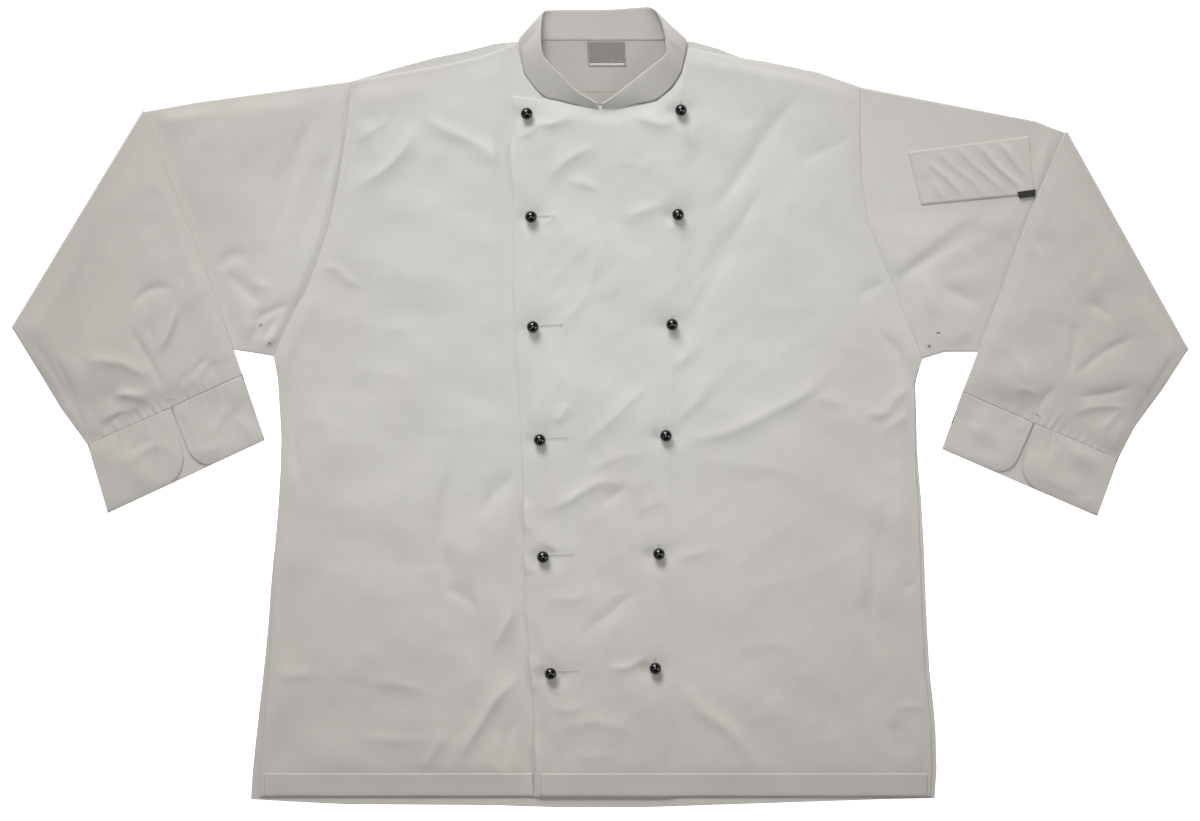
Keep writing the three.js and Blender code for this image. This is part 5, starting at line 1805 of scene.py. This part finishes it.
@dataclass
class Trim:
    """The bare neck label, the bare tab at the sleeve's fold, and the facing inside the neck."""

    finishes: Finishes
    label: tuple[float, float, float, float] = (-13, 26, 341, 365.4)
    tab: Points = ((419, 208.4), (434.5, 210.5), (435.5, 217.5), (417, 215))
    facing: tuple[float, float, float, float] = (-76, 80, 301.5, 366.9)
    binding_rise: float = 15.0
    pieces: dict[str, bpy.types.Object] = field(default_factory=dict)
    surfaces: dict[str, Surface] = field(default_factory=dict)

    def build(self) -> None:
        """Make the three pieces."""
        left, right, low, high = self.label
        corners = ((left + 1.6, low), (right, low), (right - 1.4, high), (left, high))
        self.patch("neck_label_ribbon", corners, LEVEL_FRONT, 0.9, 0.25, (Slot.LABEL, self.finishes.label, ["neck_label"]))
        on_pocket = STACK + 2 * SEAM_GAP + 1.0
        self.patch("sleeve_tab_ribbon", self.tab, on_pocket, 0.9, 0.1, (Slot.TAB, self.finishes.tab, ["sleeve_tab"]))
        left, right, low, high = self.facing
        corners = ((left, low - 1.5), (right, low + 2.5), (right, high), (left, high))
        # The facing wears the darkest twill, which is painted shade for the inside of the neck.
        self.patch("neck_facing", corners, CLOTH + 0.02, 0.25, 0.0, (Slot.TWILL, self.finishes.facing, []))

    def patch(self, name: str, corners: Points, base: float, wall: float, wave: float, dress: tuple) -> None:
        """Make a four-cornered patch.

        Args:
            name: The piece's name.
            corners: Its corners, the lower two first.
            base: The height that it lies at.
            wall: Its thickness.
            wave: How far its middle stands up.
            dress: Its slot, which is not used, its material and the nodes that it stands for.
        """
        a, b, c, d = (np.asarray(p, float) for p in corners)
        width = float(np.linalg.norm(b - a))
        u, v = np.meshgrid(spread(20, width, near=(0.4, 0.9)), spread(14, 25, near=(0.4, 0.9)))
        place = mix(mix(a, b, u[..., None]), mix(d, c, u[..., None]), v[..., None])
        z = base + wall + wave * np.sin(math.pi * u) * np.sin(math.pi * v) ** 2
        z = z - np.where((u < 1e-6) | (u > 1 - 1e-6) | (v < 1e-6) | (v > 1 - 1e-6), 0.4 * wall, 0)
        piece = laid_wall(name, np.concatenate([place, z[..., None]], -1), wall, base)
        slot, material, nodes = dress
        self.pieces[name] = own(piece, material, nodes)
        self.surfaces[name] = Surface(piece)


@dataclass
class Studs:
    """Twelve ball studs, set on the left front by Geometry Nodes."""

    finishes: Finishes
    radius: float = 6.0
    squash: float = 0.93
    foot: float = 2.8
    foot_height: float = 1.1
    tilt: float = 0.07
    piece: bpy.types.Object | None = None

    def tree(self) -> bpy.types.NodeTree:
        """Build the tree that sets one stud on each point."""
        group = bpy.data.node_groups.new("ball studs", "GeometryNodeTree")
        group.interface.new_socket("Places", in_out="INPUT", socket_type="NodeSocketGeometry")
        for name in ("Radius", "Squash", "Foot", "Foot Height", "Tilt"):
            group.interface.new_socket(name, in_out="INPUT", socket_type="NodeSocketFloat")
        group.interface.new_socket("Plastic", in_out="INPUT", socket_type="NodeSocketMaterial")
        group.interface.new_socket("Studs", in_out="OUTPUT", socket_type="NodeSocketGeometry")
        build = Builder(group)
        given = build.node("NodeGroupInput").outputs
        sphere = build.node(
            "GeometryNodeMeshUVSphere", values={"Segments": 48, "Rings": 28, "Radius": given["Radius"]}
        )
        squash = build.node("ShaderNodeCombineXYZ", values={"X": 1.0, "Y": 1.0, "Z": given["Squash"]})
        rise = build.node("ShaderNodeMath", {"operation": "MULTIPLY"}, {0: given["Radius"], 1: given["Squash"]})
        lifted = build.node("ShaderNodeMath", {"operation": "ADD"}, {0: rise.outputs[0], 1: given["Foot Height"]})
        lowered = build.node("ShaderNodeMath", {"operation": "SUBTRACT"}, {0: lifted.outputs[0], 1: 0.00065})
        up = build.node("ShaderNodeCombineXYZ", values={"Z": lowered.outputs[0]})
        ball = build.node(
            "GeometryNodeTransform",
            values={"Geometry": sphere.outputs[0], "Translation": up.outputs[0], "Scale": squash.outputs[0]},
        )
        shank = build.node(
            "GeometryNodeMeshCylinder",
            values={"Vertices": 32, "Radius": given["Foot"], "Depth": given["Foot Height"]},
        )
        half = build.node("ShaderNodeMath", {"operation": "MULTIPLY"}, {0: given["Foot Height"], 1: 0.5})
        half_up = build.node("ShaderNodeCombineXYZ", values={"Z": half.outputs[0]})
        foot = build.node(
            "GeometryNodeTransform", values={"Geometry": shank.outputs[0], "Translation": half_up.outputs[0]}
        )
        stud = build.node("GeometryNodeJoinGeometry")
        group.links.new(foot.outputs[0], stud.inputs[0])
        group.links.new(ball.outputs[0], stud.inputs[0])
        low = build.node("ShaderNodeMath", {"operation": "MULTIPLY"}, {0: given["Tilt"], 1: -1.0})
        lows = build.node("ShaderNodeCombineXYZ", values={"X": low.outputs[0], "Y": low.outputs[0]})
        highs = build.node("ShaderNodeCombineXYZ", values={"X": given["Tilt"], "Y": given["Tilt"]})
        chance = build.node("FunctionNodeRandomValue", {"data_type": "FLOAT_VECTOR"}, {"Seed": 3})
        build.feed(chance.inputs[0], lows.outputs[0])
        build.feed(chance.inputs[1], highs.outputs[0])
        turn = build.node("FunctionNodeEulerToRotation", values={"Euler": chance.outputs[0]})
        placed = build.node(
            "GeometryNodeInstanceOnPoints",
            values={"Points": given["Places"], "Instance": stud.outputs[0], "Rotation": turn.outputs[0]},
        )
        real = build.node("GeometryNodeRealizeInstances", values={"Geometry": placed.outputs[0]})
        shaded = build.node("GeometryNodeSetShadeSmooth", values={"Geometry": real.outputs[0]})
        dressed = build.node(
            "GeometryNodeSetMaterial", values={"Geometry": shaded.outputs[0], "Material": given["Plastic"]}
        )
        build.node("NodeGroupOutput", values={"Studs": dressed.outputs[0]})
        return group

    def build(self, cloth: Surface) -> None:
        """Set the studs on the cloth below them."""
        points = []
        for x, y in STUD_PLACES:
            seat = max(cloth.height(x + dx, y + dy) for dx, dy in ((0, 0), (2.6, 0), (-2.6, 0), (0, 2.6), (0, -2.6)))
            points.append((x * MM, y * MM, seat * MM))
        mesh = bpy.data.meshes.new("stud_places")
        mesh.from_pydata(points, [], [])
        source = link("stud_places", mesh)
        modifier = source.modifiers.new("ball studs", "NODES")
        modifier.node_group = self.tree()
        values = {
            "Radius": self.radius * MM,
            "Squash": self.squash,
            "Foot": self.foot * MM,
            "Foot Height": self.foot_height * MM,
            "Tilt": self.tilt,
            "Plastic": self.finishes.stud,
        }
        nodes = [f"stud_{side.value}_{row}" for side in Side for row in range(1, 7)]
        self.piece = own(grown(source, modifier, values, "ball_studs"), nodes=nodes)


@dataclass
class Sewing:
    """All the visible stitching, seams, buttonholes, eyelets and bar tacks."""

    finishes: Finishes
    body: Body
    sleeves: dict[Side, Sleeve]
    collar: Collar
    pocket: PenPocket
    trim: Trim
    maker: StitchMaker = field(default_factory=StitchMaker)
    on_body: list[bpy.types.Object] = field(default_factory=list)
    on_sleeve: dict[Side, list[bpy.types.Object]] = field(default_factory=lambda: {side: [] for side in Side})
    hem: float = 23.5
    holes: tuple[tuple[float, float, float], ...] = (
        (-62.5, 190, -46), (-60.5, 80.5, -38), (-53.5, -32, -32), (-50.5, -149, -27), (-42.5, -265, -22),
    )
    eyelets: Points = ((-339, 82), (-330, 64), (338, 74), (329, 61))

    def build(self) -> None:
        """Sew everything."""
        self.sew_body()
        self.sew_closing()
        self.sew_collar()
        for sleeve in self.sleeves.values():
            self.sew_sleeve(sleeve)
        self.sew_pocket()
        self.sew_trim()

    def thread(self, name: str, lines: list[Line], thread: Thread, material: bpy.types.Material | None = None) -> bpy.types.Object:
        """Sew lines and put them on the body."""
        return own(self.maker.sew(name, lines, thread, material or self.finishes.thread))

    def sew_body(self) -> None:
        """The hem, armholes, shoulders, side vent and the facing inside the neck."""
        under, top = self.body.surfaces["right_front_cloth"], self.body.surfaces["left_front_cloth"]
        row = HEM + self.hem
        bands = [
            band("right_hem_turn", ((-336, HEM + self.hem / 2 + 0.6), (-66, HEM + self.hem / 2 + 0.6)), self.hem, 0.22, under),
            band("left_hem_turn", ((-60, HEM + self.hem / 2 + 0.6), (328, HEM + self.hem / 2 + 0.6)), self.hem, 0.22, top),
        ]
        for piece in bands:
            self.on_body.append(own(piece, self.finishes.twill))
        hem_under, hem_top = (Surface(piece) for piece in bands)
        lines = [
            hem_under.lay(((-334, row - 1.8), (-68, row - 1.8)), 0.08),
            hem_top.lay(((-60, row - 1.8), (326, row - 1.8)), 0.08),
            under.lay(beside(RIGHT_ARMHOLE, -6), 0.05),
            top.lay(beside(LEFT_ARMHOLE, 6), 0.05),
            under.lay(beside(UNDER_FRONT_TOP[:9], -5), 0.05),
            top.lay(beside(TOP_FRONT_TOP[11:], -5), 0.05),
            top.lay(((292, -279), (296, -303.5), (329, -303.5)), 0.05),
            top.lay(((292, -366), (296, -303.5)), 0.05),
        ]
        self.on_body.append(self.thread("body_stitching", lines, RUNNING))
        facing = self.trim.surfaces["neck_facing"]
        left, right, low, high = self.trim.facing
        bound = low + self.trim.binding_rise
        lower = facing.lay(((left + 1, bound - 0.6), (5, bound - 1.2), (right - 1, bound + 3.2)), 0.1)
        self.on_body.append(self.thread("neck_facing_binding", [lower], SATIN, self.finishes.binding))

    def sew_closing(self) -> None:
        """The buttonholes beside the right column and above the left one, each with a dark thread in its opening as
        painted shade.
        """
        cloth = self.body.surfaces["left_front_cloth"]
        edges, slit_shade_lines, ends = [], [], []
        for x0, y, x1 in self.holes:
            slant = (x1 - x0) * 0.05
            for side in (-0.95, 0.95):
                edges.append(cloth.lay(((x0, y + side), (x1, y + side + slant)), 0.08))
            slit_shade_lines.append(cloth.lay(((x0, y), (x1 - 0.6, y + slant)), 0.02, 1.0))
            ends.append(cloth.lay(((x1, y - 1.9 + slant), (x1, y + 1.9 + slant)), 0.12, 0.8))
        for x, y in STUD_PLACES[1::2]:
            for side in (-0.85, 0.85):
                edges.append(cloth.lay(((x + side, y + 3.5), (x + side, y + 9.5)), 0.08, 1.0))
            slit_shade_lines.append(cloth.lay(((x, y + 3.5), (x, y + 9.3)), 0.02, 1.0))
            ends.append(cloth.lay(((x - 1.5, y + 10), (x + 1.5, y + 10)), 0.1, 0.8))
        self.on_body.append(self.thread("buttonhole_edges", edges, SATIN))
        self.on_body.append(self.thread("buttonhole_bars", ends, BARTACK))
        # Painted shade: a dark thread down each buttonhole's opening, for the shade that shows through it.
        slit = Thread(pitch=0.9, length=1.3, width=0.3, height=0.2, segments=6, uneven=0.0)
        self.on_body.append(self.thread("buttonhole_slit_shade", slit_shade_lines, slit, self.finishes.slit))

    def sew_collar(self) -> None:
        """The collar's edge stitching and the row at its seam."""
        lines = [
            self.collar.line(0.84, 0.02, 0.98),
            self.collar.line(0.08, 0.02, 0.34),
            self.collar.line(0.08, 0.62, 0.98),
            self.collar.line(0.84, 0.26, 0.72, inside=True),
            self.collar.line(0.1, 0.3, 0.68, inside=True),
        ]
        self.on_body.append(self.thread("collar_stitching", lines, STANDING))

    def sew_sleeve(self, sleeve: Sleeve) -> None:
        """The cuff's rows, the slit's bar tacks, the vent eyelets and a row beside the armhole."""
        side, lie = sleeve.side, sleeve.lie
        name = side.value
        lines = []
        for flap in Side:
            lines.append(sleeve.cuff_surface.lay(sleeve.cuff_line(flap, 6.5), 0.06))
        seam = [tuple(mix(np.asarray(lie.outer[-1], float), np.asarray(lie.inner[-1], float), w)) for w in (0.06, 0.5, 0.95)]
        toward_cuff = np.asarray(lie.cuff_outer, float) - np.asarray(lie.outer[-1], float)
        toward_cuff /= np.linalg.norm(toward_cuff)
        for distance in (2.0, 6.5):
            lines.append(sleeve.cuff_surface.lay([np.asarray(p) + toward_cuff * distance for p in seam], 0.06))
        in_side = -1 if side is Side.RIGHT else 1
        lines.append(sleeve.sleeve_surface.lay(beside(lie.armhole, in_side * -1.0 * -2.5), 0.05))
        self.on_sleeve[side].append(self.thread(name + "_sleeve_stitching", lines, RUNNING))
        slit = np.asarray(mix(np.asarray(lie.outer[-1], float), np.asarray(lie.inner[-1], float), sleeve.slit))
        tacks = []
        for back in (-9.0, 0.5):
            centre = slit + toward_cuff * back
            across = np.array([-toward_cuff[1], toward_cuff[0]])
            surface = sleeve.sleeve_surface if back < 0 else sleeve.cuff_surface
            tacks.append(surface.lay([centre - across * 3.0, centre + across * 3.0], 0.15, 0.8))
        self.on_sleeve[side].append(self.thread(name + "_slit_bars", tacks, BARTACK))
        rings, centres = [], []
        for x, y in self.eyelets:
            if (x < 0) != (side is Side.RIGHT):
                continue
            circle = [(x + 2.1 * math.cos(a), y + 2.1 * math.sin(a)) for a in np.linspace(0, 2 * math.pi, 17)]
            rings.append(sleeve.sleeve_surface.lay(circle, 0.12, 0.8))
            centres.append(sleeve.sleeve_surface.lay(((x - 0.5, y), (x + 0.5, y)), 0.02, 0.4))
        self.on_sleeve[side].append(self.thread(name + "_eyelet_rings", rings, SATIN))
        # Painted shade: a dark disc in each eyelet, for the shade seen through its opening.
        hole_shade = Thread(pitch=0.6, length=2.2, width=2.2, height=0.24, segments=10, uneven=0.0)
        self.on_sleeve[side].append(self.thread(name + "_eyelet_hole_shade", centres, hole_shade, self.finishes.slit))

    def sew_pocket(self) -> None:
        """The pocket's rows, its mouth hem and its bar tacks."""
        pocket, cloth = self.pocket, self.pocket.surface
        lines = [
            cloth.lay(pocket.line((0.03, 0.035), (0.985, 0.035), (0.985, 0.965), (0.03, 0.965)), 0.06),
            cloth.lay(pocket.line((0.112, 0.04), (0.112, 0.96)), 0.06),
            cloth.lay(pocket.line((0.135, 0.5), (0.03, 0.5)), 0.06),
            cloth.lay(pocket.line((0.955, 0.04), (0.955, 0.96)), 0.06),
        ]
        self.on_sleeve[Side.LEFT].append(self.thread("pen_pocket_stitching", lines, FINE_RUNNING))
        tacks = [
            cloth.lay(pocket.line((0.015, 0.955), (0.105, 0.955)), 0.1, 0.8),
            cloth.lay(pocket.line((0.015, 0.045), (0.105, 0.045)), 0.1, 0.8),
            cloth.lay(pocket.line((0.015, 0.53), (0.13, 0.53)), 0.1, 0.8),
            cloth.lay(pocket.line((0.015, 0.46), (0.13, 0.46)), 0.1, 0.8),
        ]
        small = Thread(pitch=0.5, length=1.0, width=0.45, height=0.4, turned=True, segments=5)
        self.on_sleeve[Side.LEFT].append(self.thread("pen_pocket_bars", tacks, small))

    def sew_trim(self) -> None:
        """The label's hem and the rows that hold the label."""
        label = self.trim.surfaces["neck_label_ribbon"]
        left, right, low, high = self.trim.label
        hem = band("neck_label_hem", ((left + 2.4, low + 1.4), (right - 0.8, low + 1.4)), 2.2, 0.3, label)
        self.on_body.append(own(hem, self.finishes.twill))
        sides = [
            label.lay(((left + 1.4, high - 1.2), (left + 2.8, low + 3.4)), 0.05),
            label.lay(((right - 1.2, high - 1.2), (right - 1.2, low + 3.4)), 0.05),
            label.lay(((left + 1.4, high - 1.2), (right - 2.4, high - 1.2)), 0.05),
        ]
        self.on_body.append(self.thread("neck_label_stitching", sides, FINE_RUNNING))


@dataclass(frozen=True)
class Lamp:
    """A square softbox with a grid that narrows its light."""

    name: str
    place: tuple[float, float, float]
    size: float
    power: float
    spread_angle: float
    color: tuple[float, float, float]
    aim: tuple[float, float, float]

    def hang(self) -> None:
        """Hang the softbox and turn it to its aim."""
        data = bpy.data.lights.new(self.name, "AREA")
        data.shape = "SQUARE"
        data.size, data.energy, data.color = self.size, self.power, self.color
        data.spread = math.radians(self.spread_angle)
        lamp = bpy.data.objects.new(self.name, data)
        lamp.location = self.place
        lamp.rotation_euler = (Vector(self.aim) - Vector(self.place)).to_track_quat("-Z", "Y").to_euler()
        bpy.context.scene.collection.objects.link(lamp)


@dataclass
class Studio:
    """The camera, the lights and the floor."""

    frame_width: float = 1.2
    height: float = 6.0
    centre: tuple[float, float] = (0.0, -0.0035)
    sensor: float = 36.0

    def camera(self) -> None:
        """Look straight down on the jacket, as the photograph does."""
        data = bpy.data.cameras.new("camera")
        data.sensor_width = self.sensor
        data.lens = self.sensor * self.height / self.frame_width
        data.clip_end = 50
        camera = bpy.data.objects.new("camera", data)
        camera.location = (*self.centre, self.height)
        bpy.context.scene.collection.objects.link(camera)
        bpy.context.scene.camera = camera

    def floor(self) -> None:
        """A plain pale floor just below the jacket."""
        half = 4.0
        mesh = bpy.data.meshes.new("floor")
        corners = [(-half, -half, -0.0004), (half, -half, -0.0004), (half, half, -0.0004), (-half, half, -0.0004)]
        mesh.from_pydata(corners, [], [(0, 1, 2, 3)])
        mesh.materials.append(FloorFinish().material())
        link("floor", mesh)

    def lights(self) -> None:
        """A wide low light from beyond the neck, one overhead, one at each side, and a dim room."""
        Lamp("window", (-1.1, 3.9, 2.6), 2.8, 34.4, 60, (1.0, 0.995, 0.98), (0.0, 0.0, 0.0)).hang()
        Lamp("right_softbox", (3.4, -0.9, 2.3), 1.8, 5.6, 60, (1.0, 0.99, 0.98), (0.0, 0.0, 0.0)).hang()
        Lamp("left_softbox", (-1.7, -1.2, 1.9), 0.5, 0.63, 60, (1.0, 0.99, 0.98), (-0.1, 0.1, 0.0)).hang()
        Lamp("chest_softbox", (0.0, 0.2, 2.2), 1.0, 1.16, 40, (0.985, 1.0, 1.0), (0.0, 0.15, 0.0)).hang()
        world = bpy.data.worlds.new("room")
        world.use_nodes = True
        background = world.node_tree.nodes["Background"]
        background.inputs["Color"].default_value = (1.0, 0.985, 0.965, 1)
        background.inputs["Strength"].default_value = 0.02
        bpy.context.scene.world = world
        bpy.context.scene.view_settings.view_transform = "Standard"


def main() -> None:
    """Build the jacket, its sewing and the studio."""
    logging.basicConfig(level=logging.INFO, format="%(name)s: %(message)s")
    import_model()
    studio = Studio()
    studio.camera()
    studio.floor()
    studio.lights()
    finishes = Finishes()
    body = Body(finishes)
    body.build()
    collar = Collar(finishes)
    collar.build()
    sleeves = {
        Side.RIGHT: Sleeve(Side.RIGHT, RIGHT_LIE, Folds(RIGHT_SLEEVE_FOLDS), finishes, 31, RIGHT_PLEATS),
        Side.LEFT: Sleeve(
            Side.LEFT, LEFT_LIE, Folds(LEFT_SLEEVE_FOLDS), finishes, 41, LEFT_PLEATS, Folds(LEFT_TUCK_FOLDS)
        ),
    }
    for sleeve in sleeves.values():
        sleeve.build()
    pocket = PenPocket(finishes)
    pocket.build()
    trim = Trim(finishes)
    trim.build()
    studs = Studs(finishes)
    studs.build(body.surfaces["left_front_cloth"])
    sewing = Sewing(finishes, body, sleeves, collar, pocket, trim)
    sewing.build()


if __name__ == "__main__":
    main()
